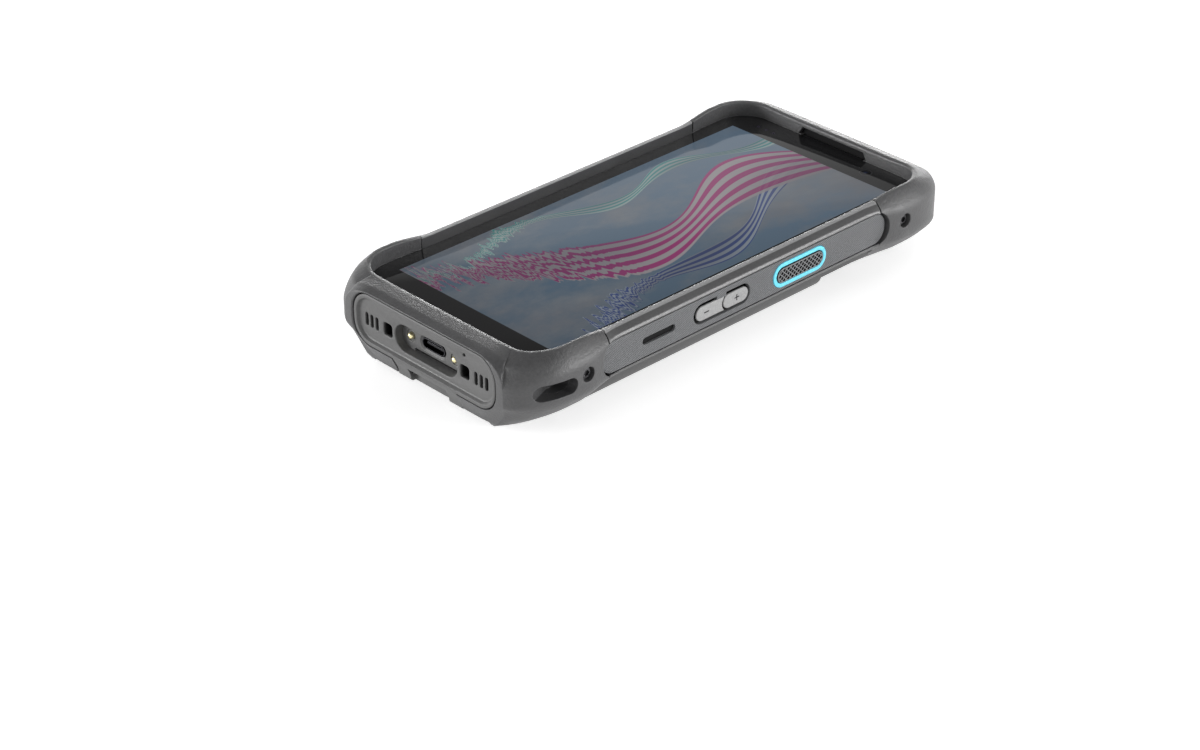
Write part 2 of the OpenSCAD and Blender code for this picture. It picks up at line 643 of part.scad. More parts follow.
// ---- scanner end ---------------------------------------------------------------------------
scan_window_x = 1;
scan_window_z = 10.9;
engine_x0 = scan_window_x - 10.5;
engine_x1 = scan_window_x + 10.5;
engine_z0 = scan_window_z - 3.7;
power_x = 20.4;
power_z = 9.6;
power_well_gap = 0.45;
power_seat_y = core_y - 1.6;
module power_outline(grow) {
    round_rect(power_x - power_w / 2 - grow, power_x + power_w / 2 + grow,
        power_z - power_h / 2 - grow, power_z + power_h / 2 + grow, 2.2 + grow);
}
module scan_recess(in_left, in_right, in_z, r, y0, y1) {
    end_plate(scan_window_x - scan_window_w / 2 + in_left,
        scan_window_x + scan_window_w / 2 - in_right, scan_window_z - scan_window_h / 2 + in_z,
        scan_window_z + scan_window_h / 2 - in_z, r, y0, y1);
}
module top_end_panel() {
    color(inlay_col) difference() {
        end_plate(-panel_x, panel_x, top_panel_z0, top_panel_z1, panel_r, panel_back,
            panel_face_y);
        end_plate(-panel_x + dish_rim, panel_x - dish_rim, top_panel_z0 + dish_rim,
            top_panel_z1 - dish_rim, panel_r - 1, dish_y, beyond);
        // funnel in front of the scanner window
        hull() {
            scan_recess(0, 0, 0, 1.8, dish_y, dish_y + 2);
            scan_recess(2.4, 1, 1.1, 1.2, panel_back - 1, panel_back + 1.4);
        }
        translate([0, beyond, 0]) rotate([90, 0, 0]) linear_extrude(beyond - core_y + 8)
            power_outline(power_well_gap);
        for (x = [-12.6, 12.6]) end_slot(4.2, 1.9, core_y - 8, beyond, x, top_panel_z0 + 1.9);
        translate([15.2, core_y - 8, top_panel_z1 - 2.1]) rotate([-90, 0, 0])
            cylinder(h = beyond, d = 0.9, $fn = 24);
    }
}
module power_key() {
    face_y = panel_face_y - 0.2;
    color(key_col) translate([0, face_y, 0]) rotate([90, 0, 0])
        linear_extrude(face_y - power_seat_y) power_outline(0);
}
module power_switch() {
    y1 = power_seat_y - key_travel - 0.1;
    color(dark_col) box(power_x - 2, power_x + 2, y1 - 1.6, y1, power_z - 2, power_z + 2);
    color("green") box(power_x - 3, power_x + 3, y1 - 2.4, y1 - 1.6, power_z - 2.4,
        board_top - 0.2);
}
module scan_window() {
    color("black") end_plate(scan_window_x - 12, scan_window_x + 12, engine_z0,
        scan_window_z + 3.7, 0.8, core_y - 1.4, core_y);
}
module scan_engine() {
    color(dark_col) difference() {
        box(engine_x0, engine_x1, core_y - 6.8, core_y - 1.6, engine_z0, board_top - 0.2);
        for (x = [-5.5, 5.5]) translate([scan_window_x + x, core_y - 3, scan_window_z])
            rotate([-90, 0, 0]) cylinder(h = 5, r = 2.6, $fn = 32);
    }
    color("red") translate([scan_window_x - 5.5, core_y - 3, scan_window_z])
        rotate([-90, 0, 0]) cylinder(h = 0.8, r = 2.3, $fn = 32);
}

// ---- screen ---------------------------------------------------------------------------------
glass_gap = 0.12;
module cover_glass() {
    color([0.1, 0.1, 0.11, 0.6]) translate([0, 0, glass_z - glass_t]) linear_extrude(glass_t)
        polygon(flat_outline([[foot_end + glass_gap, foot_end + glass_gap,
            glass_corner_in + glass_gap, foot_bumper + glass_gap, foot_rail + glass_gap],
            [0, 0, 0, 0, 0, 0], 0]));
}
module display_panel() {
    color("#5a6b7a") box(-screen_w / 2, screen_w / 2, -screen_l / 2, screen_l / 2, floor_z,
        floor_z + display_t);
}
sensor_y = glass_y - 5.4;
sensor_l = glass_z - glass_t - floor_z;
module front_camera() {
    color("black") translate([17.8, sensor_y, floor_z]) cylinder(h = sensor_l, r = 1.7, $fn = 32);
}
module light_sensor() {
    color("black") for (x = [-24.4, -21.3, -18.3])
        translate([x, sensor_y, floor_z]) cylinder(h = sensor_l, r = 1, $fn = 24);
}
module earpiece_mesh() {
    color("black") box(-earpiece_w / 2 + 0.2, earpiece_w / 2 - 0.2, glass_y + 0.1, glass_y + 1.3,
        glass_z - 1.4, glass_z - 0.3);
}

// ---- side keys -------------------------------------------------------------------------------
module inlay(right) {
    difference() {
        side_plate(inlay_y0 + seam_gap, -inlay_y0 - seam_gap, key_z - inlay_h / 2 + seam_gap,
            key_z + inlay_h / 2 - seam_gap, inlay_r - seam_gap, inlay_seat_x, grip_x);
        side_slot(scan_l, scan_h, switch_x, beyond, scan_y, key_z);
        if (right) {
            side_slot(volume_l, volume_h, switch_x, beyond, -volume_y, key_z);
            side_slot(12, 2.1, grip_x - 0.9, beyond, -34.1, key_z);
        }
    }
}
module right_inlay() {
    color(inlay_col) inlay(true);
}
module left_inlay() {
    color(inlay_col) mirror([1, 0, 0]) inlay(false);
}
module scan_ring() {
    difference() {
        side_slot(scan_l - 0.1, scan_h - 0.1, inlay_seat_x, grip_x + 0.25, scan_y, key_z);
        side_slot(scan_l - 2 * ring_w, scan_h - 2 * ring_w, switch_x, beyond, scan_y, key_z);
    }
}
module scan_key() {
    side_slot(scan_l - 2 * ring_w - 2 * key_gap, scan_h - 2 * ring_w - 2 * key_gap,
        switch_x + key_travel + 0.3, grip_x + 0.45, scan_y, key_z);
}
module scan_ring_right() {
    color(ring_col) scan_ring();
}
module scan_ring_left() {
    color(ring_col) mirror([1, 0, 0]) scan_ring();
}
module scan_key_right() {
    color(dark_col) scan_key();
}
module scan_key_left() {
    color(dark_col) mirror([1, 0, 0]) scan_key();
}
volume_key_h = volume_h - 1.1;
volume_split_y = -volume_y - volume_l / 2 + 11.3;   // where the two key caps meet
volume_face_x = grip_x - 0.2;
module volume_up_key() {
    y1 = -volume_y + volume_l / 2 - 0.55;
    color(key_col) side_slot(y1 - volume_split_y, volume_key_h, switch_x + key_travel + 0.3,
        volume_face_x, (y1 + volume_split_y) / 2, key_z);
}
module volume_down_key() {
    y0 = -volume_y - volume_l / 2 + 0.55;
    l = volume_split_y + volume_key_h / 2 - y0;
    color(key_col) difference() {
        side_slot(l + volume_key_h, volume_key_h, switch_x + key_travel + 0.3, volume_face_x,
            y0 + (l + volume_key_h) / 2, key_z);
        translate([switch_x, volume_split_y + volume_key_h / 2, key_z]) rotate([0, 90, 0])
            cylinder(h = 30, r = volume_key_h / 2 + 0.45, $fn = 32);
        box(switch_x, beyond, volume_split_y + volume_key_h / 2, beyond, 0, beyond);
    }
}
module switch_block(y) {
    box(switch_x, switch_x + 0.3, y - 1.6, y + 1.6, key_z - 1.6, key_z + 1.6);
}
module side_switches() {
    color("#333") {
        both_sides() switch_block(scan_y);
        switch_block(volume_split_y + 4.6);
        switch_block(volume_split_y - 4.2);
    }
}

// ---- battery, latch and terminals ---------------------------------------------------------------
battery_low_y = bay_low_y + battery_gap;
battery_high_y = bay_top_y - battery_gap - 0.3;
battery_slant_y = seam_y - 0.8;
battery_side_x = grip_x - battery_side_in;
battery_back_z = bay_z - 0.2;
hinge_r = 0.6;                 // rounded edge that the pack tilts on
hinge_y = battery_low_y + hinge_r;
hinge_z = battery_z + hinge_r;
latch_w = 9.4;
latch_x1 = battery_side_x - 0.8;
latch_x0 = latch_x1 - latch_w;
latch_y0 = battery_high_y - 11.6;
latch_y1 = battery_high_y - 1.2;
latch_travel = 1.6;
latch_z = 3.6;
pocket_z = 6.4;                // floor of the latch's pocket
leg_x = latch_x1 - 2.8;
battery_plan = [[-bay_x - 1.6, battery_low_y], [bay_x + 1.6, battery_low_y],
    [battery_side_x, bay_low_side_y + 0.6], [battery_side_x, battery_slant_y],
    [bay_x - 0.1, battery_high_y], [-bay_x + 0.1, battery_high_y],
    [-battery_side_x, battery_slant_y],
    [-battery_side_x, bay_low_side_y + 0.6]];
latch_pocket = [[latch_x0 - latch_travel - 0.4, beyond],
    [latch_x0 - latch_travel - 0.4, latch_y0 - 0.6], [latch_x0 + 1.6, latch_y0 - 2.8],
    [beyond, latch_y0 - 2.8], [beyond, beyond]];
// Cross-section of the pack: flat face, bevel line and rounded long sides
module battery_section() {
    flat_x = battery_flat_w / 2;
    low = battery_z + 0.35;
    high = bay_z - 0.9;
    curve = [for (k = [0:8]) let (a = 90 * k / 8)
        [flat_x + 0.9 + (battery_side_x - flat_x - 0.9) * sin(a), high - (high - low) * cos(a)]];
    half = concat([[flat_x, battery_z]], curve, [[battery_side_x, battery_back_z]]);
    polygon(concat(half, [for (p = reversed(half)) [-p[0], p[1]]]));
}
module battery_shell() {
    color(bumper_col) difference() {
        union() {
            intersection() {
                rotate([90, 0, 0]) translate([0, 0, -half_l]) linear_extrude(body_l) battery_section();
                translate([0, 0, -1]) linear_extrude(12) polygon(battery_plan);
                rotate([90, 0, 90]) translate([0, 0, -grip_w]) linear_extrude(2 * grip_w)
                    polygon([[battery_low_y, beyond], [battery_low_y, hinge_z],
                        [hinge_y, hinge_z], [hinge_y, -5], [battery_high_y - 1, -5],
                        [battery_high_y - 1, battery_z], [battery_high_y, battery_z + 0.7],
                        [beyond, battery_z + 0.7], [beyond, beyond]]);
            }
            translate([-bay_x - 1, hinge_y, hinge_z]) rotate([0, 90, 0])
                cylinder(h = 2 * bay_x + 2, r = hinge_r, $fn = 32);
        }
        translate([0, 0, -1]) linear_extrude(pocket_z + 1) polygon(latch_pocket);
        box(leg_x - latch_travel - 0.3, leg_x + 2.3, latch_mid_y - 2, latch_mid_y + 2, 0, 12);
        // bores for the latch's spring and finger recess beside the latch
        translate([spring_x0, latch_mid_y, spring_z]) rotate([0, 90, 0])
            cylinder(h = latch_x0 - spring_x0, r = spring_r + 0.3, $fn = 32);
        translate([latch_x1 - 3.3, latch_y0 - 1, pocket_z - 0.1])
            cylinder(h = 0.8, r = 1.6, $fn = 32);
        // finger scoop
        translate([0, battery_high_y + 0.4, battery_z - 0.05]) rotate([-13, 0, 0])
            box(-9, 9, -7.6, 3, -4, 1.6);
        battery_quilt();
        // space for the cells and contacts
        box(cell_x0, cell_x1, cell_y0, cell_y1, battery_z + 1.2, bay_z - 1.2);
        box(-9, 9, cell_y1 - 0.1, terminal_y + 2.5, battery_z + 3, 12);
    }
}
// Shallow tilted facets in a diamond grid on the flat face
quilt_side = 17.8;
quilt_depth = 0.3;
module battery_quilt() {
    intersection() {
        box(-battery_flat_w / 2 + 0.8, battery_flat_w / 2 - 0.8, battery_low_y + 2,
            battery_high_y - 9, -9, 9);
        union() for (i = [-3:2]) for (j = [-3:2])
            if (abs(i - j) < 3 && abs(i + j + 1) < 5)
                rotate([0, 0, 45]) translate([i * quilt_side - 5.6, j * quilt_side - 5.6, battery_z])
                    rotate([-1, 0.6, 0]) translate([0, 0, -3 + quilt_depth / 3])
                    cube([quilt_side, quilt_side, 3]);
    }
}
spring_x0 = latch_x0 - 9.4;
cell_x0 = -battery_side_x + 6.6;
cell_x1 = spring_x0 - 1;
cell_low_in = 7.8;
cell_high_in = 10;
terminal_in = 2.5;
cell_y0 = battery_low_y + cell_low_in;
cell_y1 = battery_high_y - cell_high_in;
terminal_y = cell_y1 + terminal_in;
module battery_cells() {
    color("#3a4a5a") box(cell_x0 + 0.3, cell_x1 - 0.3, cell_y0 + 0.3, cell_y1 - 0.3,
        battery_z + 1.2, bay_z - 1.2);
}
module battery_contacts() {
    color("gold") for (k = [0:3]) box(-6.4 + k * 3.6, -4.4 + k * 3.6, cell_y1 - 0.3,
        terminal_y + 2.1, bay_z - 1.6, bay_z - 1.2);
}
module terminal_space() {
    box(-7.6, 7.6, terminal_y - 2.4, terminal_y + 2.4, 0, 20);
}
module battery_terminals() {
    color(dark_col) box(-7.6, 7.6, terminal_y - 2.4, terminal_y + 2.4, bay_z - 0.4, parting_z);
    color("gold") for (k = [0:3])
        box(-6.2 + k * 3.6, -4.6 + k * 3.6, terminal_y - 1.6, terminal_y + 1.6, bay_z - 1.1, bay_z - 0.4);
}
latch_mid_y = (latch_y0 + latch_y1) / 2;
spring_r = 0.9;
spring_z = 5;
module battery_latch() {
    color(bumper_col) {
        difference() {
            translate([0, 0, latch_z]) linear_extrude(pocket_z - 0.1 - latch_z)
                round_rect(latch_x0, latch_x1, latch_y0, latch_y1, 0.8);
            translate([latch_x0 - 1, latch_mid_y, spring_z]) rotate([0, 90, 0])
                cylinder(h = 4, r = spring_r + 0.2, $fn = 32);
        }
        box(leg_x, leg_x + 2, latch_mid_y - 1.6, latch_mid_y + 1.6, pocket_z - 0.2, bay_z + 0.8);
    }
}
// Coil spring between the pack and the latch
spring_l = latch_x0 + 3 - spring_x0;
module latch_spring() {
    color("silver") translate([spring_x0, latch_mid_y, spring_z]) rotate([0, 90, 0])
        linear_extrude(height = spring_l, twist = -360 * 8, slices = 96)
        translate([spring_r - 0.25, 0]) circle(r = 0.25, $fn = 8);
}
module battery_seal() {
    color("#3c5a8a") difference() {
        translate([0, 0, bay_z - 0.15]) linear_extrude(0.15)
            round_rect(-9.4, 9.4, terminal_y - 3.3, terminal_y + 3.3, 1.2);
        box(-7.6, 7.6, terminal_y - 2.4, terminal_y + 2.4, 0, 20);
    }
}

// ---- back: camera window and connector -----------------------------------------------------------
camera_in = 14.7;
camera_y1 = half_l - camera_in;
pogo_in = 11;
pogo_y = bay_top_y + pogo_in;
pogo_w = 16.4;
pogo_h = 5.6;
lens_x = 19.6;
lens_in = 4.4;
lens_y = camera_y1 - lens_in;
lens_r = 3.1;
flash_x = 12.9;
flash_r = 2.1;
sensor_in = 5.9;
sensor_back_y = bay_top_y + sensor_in;
square_x = 14;
round_x = 20.2;
module camera_opening(grow, z0, z1) {
    translate([0, 0, z0]) linear_extrude(z1 - z0)
        round_rect(-camera_w / 2 - grow, camera_w / 2 + grow, bay_top_y - 5, camera_y1 + grow,
            4 + grow);
}
module grip_notch() {
    translate([0, 0, -1]) linear_extrude(bay_z - 1)
        polygon([[-11.2, bay_top_y - 0.5], [11.2, bay_top_y - 0.5], [11.2, bay_top_y + 2],
            [8.6, bay_top_y + 5], [-8.6, bay_top_y + 5], [-11.2, bay_top_y + 2]]);
}
module camera_holes(z0, z1) {
    translate([lens_x, lens_y, z0]) cylinder(h = z1 - z0, r = lens_r, $fn = 32);
    translate([flash_x, lens_y, z0]) cylinder(h = z1 - z0, r = flash_r, $fn = 32);
    translate([round_x, sensor_back_y, z0]) cylinder(h = z1 - z0, r = 2, $fn = 32);
    translate([0, 0, z0]) linear_extrude(z1 - z0)
        round_rect(square_x - 2, square_x + 2, sensor_back_y - 2, sensor_back_y + 2, 0.9);
}
module camera_window() {
    color("black") difference() {
        intersection() {
            camera_opening(-0.1, camera_z, core_low_z);
            box(-beyond, beyond, bay_top_y, beyond, 0, beyond);
        }
        grip_notch();
        translate([0, 0, -1]) linear_extrude(9)
            round_rect(-pogo_w / 2 - 0.1, pogo_w / 2 + 0.1, pogo_y - pogo_h / 2 - 0.1,
                pogo_y + pogo_h / 2 + 0.1, 0.6);
        camera_holes(0, 9);
    }
}
module rear_camera() {
    color("#202028") translate([lens_x, lens_y, camera_z + 0.15]) {
        difference() {
            cylinder(h = parting_z - camera_z, r = lens_r - 0.1, $fn = 32);
            translate([0, 0, -1]) cylinder(h = 1.6, r = 1.4, $fn = 32);
        }
        translate([-4, -4, parting_z - camera_z - 0.15]) cube([8, 8, 1.6]);
    }
}
module flash_led() {
    color("#e8e4c8") translate([flash_x, lens_y, camera_z + 0.15]) difference() {
        cylinder(h = 5, r = flash_r - 0.1, $fn = 32);
        translate([0, 0, -1]) cylinder(h = 1.6, r = flash_r - 0.5, $fn = 32);
    }
}
// Two small windows over the range finder
module rear_sensors() {
    color("#202028") translate([0, 0, camera_z + 0.1]) {
        translate([round_x, sensor_back_y, 0]) cylinder(h = 4, r = 1.9, $fn = 32);
        linear_extrude(4) round_rect(square_x - 1.9, square_x + 1.9, sensor_back_y - 1.9,
            sensor_back_y + 1.9, 0.8);
    }
}
module pogo_positions() {
    for (i = [0:3]) for (j = [0, 1])
        translate([(i - 1.5) * 2.87, pogo_y + (j - 0.5) * 2.6, camera_z]) children();
}
module pogo_block() {
    color(dark_col) difference() {
        translate([0, 0, camera_z + 0.1]) linear_extrude(6.4)
            round_rect(-pogo_w / 2, pogo_w / 2, pogo_y - pogo_h / 2, pogo_y + pogo_h / 2, 0.6);
        box(-pogo_w / 2 + 0.5, pogo_w / 2 - 0.5, pogo_y - pogo_h / 2 + 0.2,
            pogo_y + pogo_h / 2 - 0.2, 0, camera_z + 1.1);
        pogo_positions() cylinder(h = 20, r = 0.95, $fn = 24);
    }
}
module pogo_pins() {
    color("gold") pogo_positions() translate([0, 0, 0.7]) cylinder(h = 5.6, r = 0.95, $fn = 24);
}

// ---- inside ------------------------------------------------------------------------------------------
board_z = parting_z + 1.8;
board_y0 = -seam_y + 8;
board_y1 = core_y - 18;
module main_board() {
    x = board_x - 0.6;
    color("darkgreen") box(-x, x, board_y0, board_y1, board_z, board_z + 0.8);
    color(dark_col) {
        box(-x + 16, x - 24, -10, 12, board_z + 0.8, board_top);
        box(-x + 3, -x + 12, board_y1 - 40, board_y1 - 16, board_z + 0.8, board_top);
        box(-x + 38, x - 2, board_y1 - 44, board_y1 - 10, parting_z, board_z);
        box(-x + 2, -x + 41, board_y0 + 8, board_y0 + 32, parting_z, board_z);
    }
}
module vibration_motor() {
    color("silver") translate([-20, board_y0 - 11, parting_z]) cylinder(h = 3, r = 4, $fn = 32);
}

// ---- screws --------------------------------------------------------------------------------------------
module side_screws() {
    color("#222") both_sides() for (s = [-1, 1])
        translate([0, s * side_screw_y, side_screw_z]) rotate([0, 90, 0]) {
            difference() {
                translate([0, 0, core_x + 1.4]) cylinder(h = 1, r = screw_head_r, $fn = 32);
                translate([0, 0, core_x + 1.8]) cylinder(h = 3, r = screw_head_r / 2, $fn = 6);
            }
            translate([0, 0, pocket_x + 0.2])
                cylinder(h = core_x + 1.2 - pocket_x, r = screw_r, $fn = 24);
        }
}
module rear_screws() {
    head_z = core_low_z + 2.2;
    color("#222") rear_screw_places() {
        translate([0, 0, head_z]) difference() {
            cylinder(h = 1.2, r = rear_head_r, $fn = 32);
            translate([0, 0, -0.2]) cylinder(h = 0.8, r = 0.8, $fn = 6);
        }
        translate([0, 0, head_z + 1.2]) cylinder(h = 5, r = screw_r, $fn = 24);
    }
}

front_frame();
rear_housing();
bottom_bumper();
top_bumper();
bottom_end_panel();
top_end_panel();
right_inlay();
left_inlay();
cover_glass();
display_panel();
front_camera();
light_sensor();
earpiece_mesh();
scan_key_right();
scan_key_left();
scan_ring_right();
scan_ring_left();
volume_up_key();
volume_down_key();
power_key();
side_switches();
power_switch();
battery_shell();
battery_cells();
battery_contacts();
battery_terminals();
battery_latch();
latch_spring();
camera_window();
rear_camera();
rear_sensors();
flash_led();
pogo_block();
pogo_pins();
dock_floor();
usb_socket();
charging_pins();
scan_window();
scan_engine();
main_board();
loudspeaker();
vibration_motor();
side_screws();
rear_screws();
battery_seal();
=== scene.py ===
import math

import bmesh
import bpy
from mathutils import Euler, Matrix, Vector


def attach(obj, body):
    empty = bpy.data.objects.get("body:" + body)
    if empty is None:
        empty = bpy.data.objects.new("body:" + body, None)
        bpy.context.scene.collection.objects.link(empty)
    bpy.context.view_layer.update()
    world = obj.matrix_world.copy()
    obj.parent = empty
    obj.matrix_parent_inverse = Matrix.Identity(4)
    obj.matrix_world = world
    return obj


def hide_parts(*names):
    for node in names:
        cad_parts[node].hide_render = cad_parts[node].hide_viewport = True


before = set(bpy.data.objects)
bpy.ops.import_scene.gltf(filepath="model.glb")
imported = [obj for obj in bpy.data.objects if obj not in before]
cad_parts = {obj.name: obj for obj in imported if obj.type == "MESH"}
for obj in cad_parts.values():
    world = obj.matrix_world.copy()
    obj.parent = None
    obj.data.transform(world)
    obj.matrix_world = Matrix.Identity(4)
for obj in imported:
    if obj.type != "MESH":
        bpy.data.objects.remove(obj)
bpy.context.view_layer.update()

# ---- sizes, in millimetres
# outline: half length, half width at rails, bumpers and ends, where bumpers begin and flare
HALF_L = 83.0
GRIP_X, BUMPER_X, END_X = 38.1, 40.3, 31.2
SEAM_Y, SEAM_GAP = 52.4, 0.36
CORNER_Y, CORNER_IN = 65.0, END_X - 27
FLARE_OUT, FLARE_IN = 62.0, 47.4
# glass and the lit part of the screen
GLASS_Z, GLASS_LOW = 19.5, 18.3
GLASS_X, GLASS_Y = 34.9, 75.0
GLASS_BULGE = 0.7
SCREEN_X, SCREEN_Y = 30.2, 64.7
# heights: parting line, back behind the rails, crests of the rim, band of the bumpers
PART_Z, BAY_Z = 9.9, 8.4
CREST_END, CREST_CORNER, CREST_SIDE = 23.4, 24.3, 22.7
KEY_Z = 15.4
BAND_TOP, BAND_LOW, FACE_LOW = KEY_Z + 3, KEY_Z - 3.6, 3.0
CAMERA_Z, COVER_TOP = 3.0, 4.2
# side inlays, their ribs and what sits in them
INLAY_H, INLAY_Y, INLAY_IN = 9.9, 55.3, 36.7
SIDE_TOP = KEY_Z + INLAY_H / 2 + 0.05
SIDE_LOW = KEY_Z - INLAY_H / 2 - 0.05
RIB_PITCH, RIBS_Y, RIB_DEEP = 0.54, 62, 0.11
RING_HOLE, RING_FACE = (21.2, 7.4), 38.35
SCAN_Y, VOLUME_Y, SPEAKER_Y = 19.9, -10.3, -34.1
# how far the inside edges of the shell lie in from its outline
RIDGE_IN = BUMPER_X - 26.6
FOOT_END = HALF_L - GLASS_Y
FOOT_BUMPER = BUMPER_X - GLASS_X - GLASS_BULGE
FOOT_RAIL = GRIP_X - GLASS_X
# screws, ends, battery and back
SCREW_Y, SCREW_SEAT = 61.4, 7.6
PANEL_RIM, PANEL_FACE = 82.7, 81.7
DOCK_Z, DOCK_PIN_X, POCKET_Y = 13.7, 8.7, -79.1
USB = (9.14, 3.36)
BAT_Z, BAT_X = 1.3, 35.6
LATCH_Y = 39.95
CAMERA_AT, FLASH_AT, RANGE_AT = (19.6, 63.9), (12.9, 63.9), (20.2, 52.9)
GAP = 0.3
BEYOND = 140.0           # past every surface, for cutters
EDGE_STEPS = 3


# ---- mesh building
def put(obj):
    bpy.context.scene.collection.objects.link(obj)
    return obj


def mesh_from(verts, faces):
    me = bpy.data.meshes.new("m")
    me.from_pydata([tuple(v) for v in verts], [], faces)
    bm = bmesh.new()
    bm.from_mesh(me)
    bmesh.ops.recalc_face_normals(bm, faces=bm.faces)
    bm.to_mesh(me)
    bm.free()
    return me


def place(u, v, h, plane):
    """A point of an outline in its plane, at height h along the plane's normal."""
    return {"z": (u, v, h), "y": (u, h, v), "x": (h, u, v)}[plane]


def loft(rings):
    """A closed solid through rings that have the same number of points in space."""
    n = len(rings[0])
    verts = [point for ring in rings for point in ring]
    faces = [tuple(range(n)), tuple(range(len(verts) - n, len(verts)))]
    for k in range(len(rings) - 1):
        a, b = k * n, (k + 1) * n
        faces += [(a + i, a + (i + 1) % n, b + (i + 1) % n, b + i) for i in range(n)]
    return mesh_from(verts, faces)


def stack(rings, plane="z"):
    """A closed solid through outlines in parallel planes, each with its height."""
    return loft([[place(u, v, h, plane) for u, v in outline] for outline, h in rings])


def prism(points, h0, h1, plane="z"):
    return stack([(points, h0), (points, h1)], plane)


def box(x0, x1, y0, y1, z0, z1):
    return prism([(x0, y0), (x1, y0), (x1, y1), (x0, y1)], z0, z1)


def circle(u, v, r, n=48):
    return [(u + r * math.cos(2 * math.pi * i / n), v + r * math.sin(2 * math.pi * i / n))
            for i in range(n)]


def angles(start, sweep, n):
    """n + 1 angles in radians, from a start and a sweep in degrees."""
    return [math.radians(start + sweep * i / n) for i in range(n + 1)]


def rounded(u0, u1, v0, v1, r):
    """Rounded rectangle, anticlockwise."""
    corners = ((u1 - r, v1 - r, 0), (u0 + r, v1 - r, 90), (u0 + r, v0 + r, 180),
               (u1 - r, v0 + r, 270))
    return [(u + r * math.cos(a), v + r * math.sin(a))
            for u, v, start in corners for a in angles(start, 90, 10)]


def slot(l, h, u, v):
    """Slot with round ends, long along u."""
    return [(u + s * (l - h) / 2 + h / 2 * math.cos(a), v + h / 2 * math.sin(a))
            for s in (1, -1) for a in angles(-90 * s, 180, 14)]


def grown(shape, *args):
    """A function that gives the shape's outline grown by its argument."""
    if shape is rounded:
        u0, u1, v0, v1, r = args
        return lambda g: rounded(u0 - g, u1 + g, v0 - g, v1 + g, max(r + g, 0.02))
    if shape is slot:
        l, h, u, v = args
        return lambda g: slot(l + 2 * g, h + 2 * g, u, v)
    u, v, r = args
    return lambda g: circle(u, v, r + g)


def bevel_rings(outline, h, sign, size):
    """Rings of a rounded edge that ends at height h; sign points out of the face."""
    return [(outline(-size * (1 - math.cos(a))), h - sign * size * (1 - math.sin(a)))
            for a in angles(0, 90, EDGE_STEPS)]


def plate(outline, h0, h1, plane="z", edge0=0.0, edge1=0.25):
    """Plate between two heights with rounded edges at either face."""
    way = 1 if h1 > h0 else -1
    low = bevel_rings(outline, h0, -way, edge0)[::-1] if edge0 else [(outline(0), h0)]
    high = bevel_rings(outline, h1, way, edge1) if edge1 else [(outline(0), h1)]
    return stack(low + high, plane)


def sink(outline, face, depth, plane, edge=0.3, sign=1):
    """Cutter for an opening in a face: flared at the mouth, straight to its depth."""
    mouth = [(outline(edge * (1 - math.sin(a))), face - sign * edge * (1 - math.cos(a)))
             for a in angles(0, 90, EDGE_STEPS)]
    return stack([(outline(edge), face + sign * 1.5), *mouth,
                  (outline(0), face - sign * depth)], plane)


def moved(me, dx=0.0, dy=0.0, dz=0.0):
    for v in me.vertices:
        v.co += Vector((dx, dy, dz))
    return me


def mirrored(me):
    other = me.copy()
    for v in other.vertices:
        v.co.x = -v.co.x
    other.flip_normals()
    return other


def joined(*meshes):
    bm = bmesh.new()
    for me in meshes:
        bm.from_mesh(me)
    out = bpy.data.meshes.new("m")
    bm.to_mesh(out)
    bm.free()
    return out


def boolean(me, other, operation="DIFFERENCE"):
    a, b = (put(bpy.data.objects.new("tmp", m)) for m in (me, other))
    mod = a.modifiers.new("cut", "BOOLEAN")
    mod.object, mod.operation, mod.solver = b, operation, "MANIFOLD"
    out = bpy.data.meshes.new_from_object(a.evaluated_get(bpy.context.evaluated_depsgraph_get()))
    for o in (a, b):
        bpy.data.objects.remove(o)
    if not out.polygons:
        raise RuntimeError(f"empty result of {operation}")
    return out


def carved(me, *cutters):
    for cutter in cutters:
        me = boolean(me, cutter)
    return me


def both_sides(me):
    return joined(me, mirrored(me))


def piece(name, me, node, material, angle=28, body="housing"):
    """Scales a mesh to metres and makes it a piece of the scene."""
    for v in me.vertices:
        v.co *= 0.001
    me.shade_smooth()
    me.set_sharp_from_angle(angle=math.radians(angle))
    me.materials.clear()
    me.materials.append(material)
    me.name = name
    obj = put(bpy.data.objects.new(name, me))
    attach(obj, body)
    if node:
        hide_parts(node)


# ---- the lofted shell
def mix(a, b, t):
    return a + (b - a) * t


def smooth(t):
    t = min(max(t, 0.0), 1.0)
    return t * t * (3 - 2 * t)


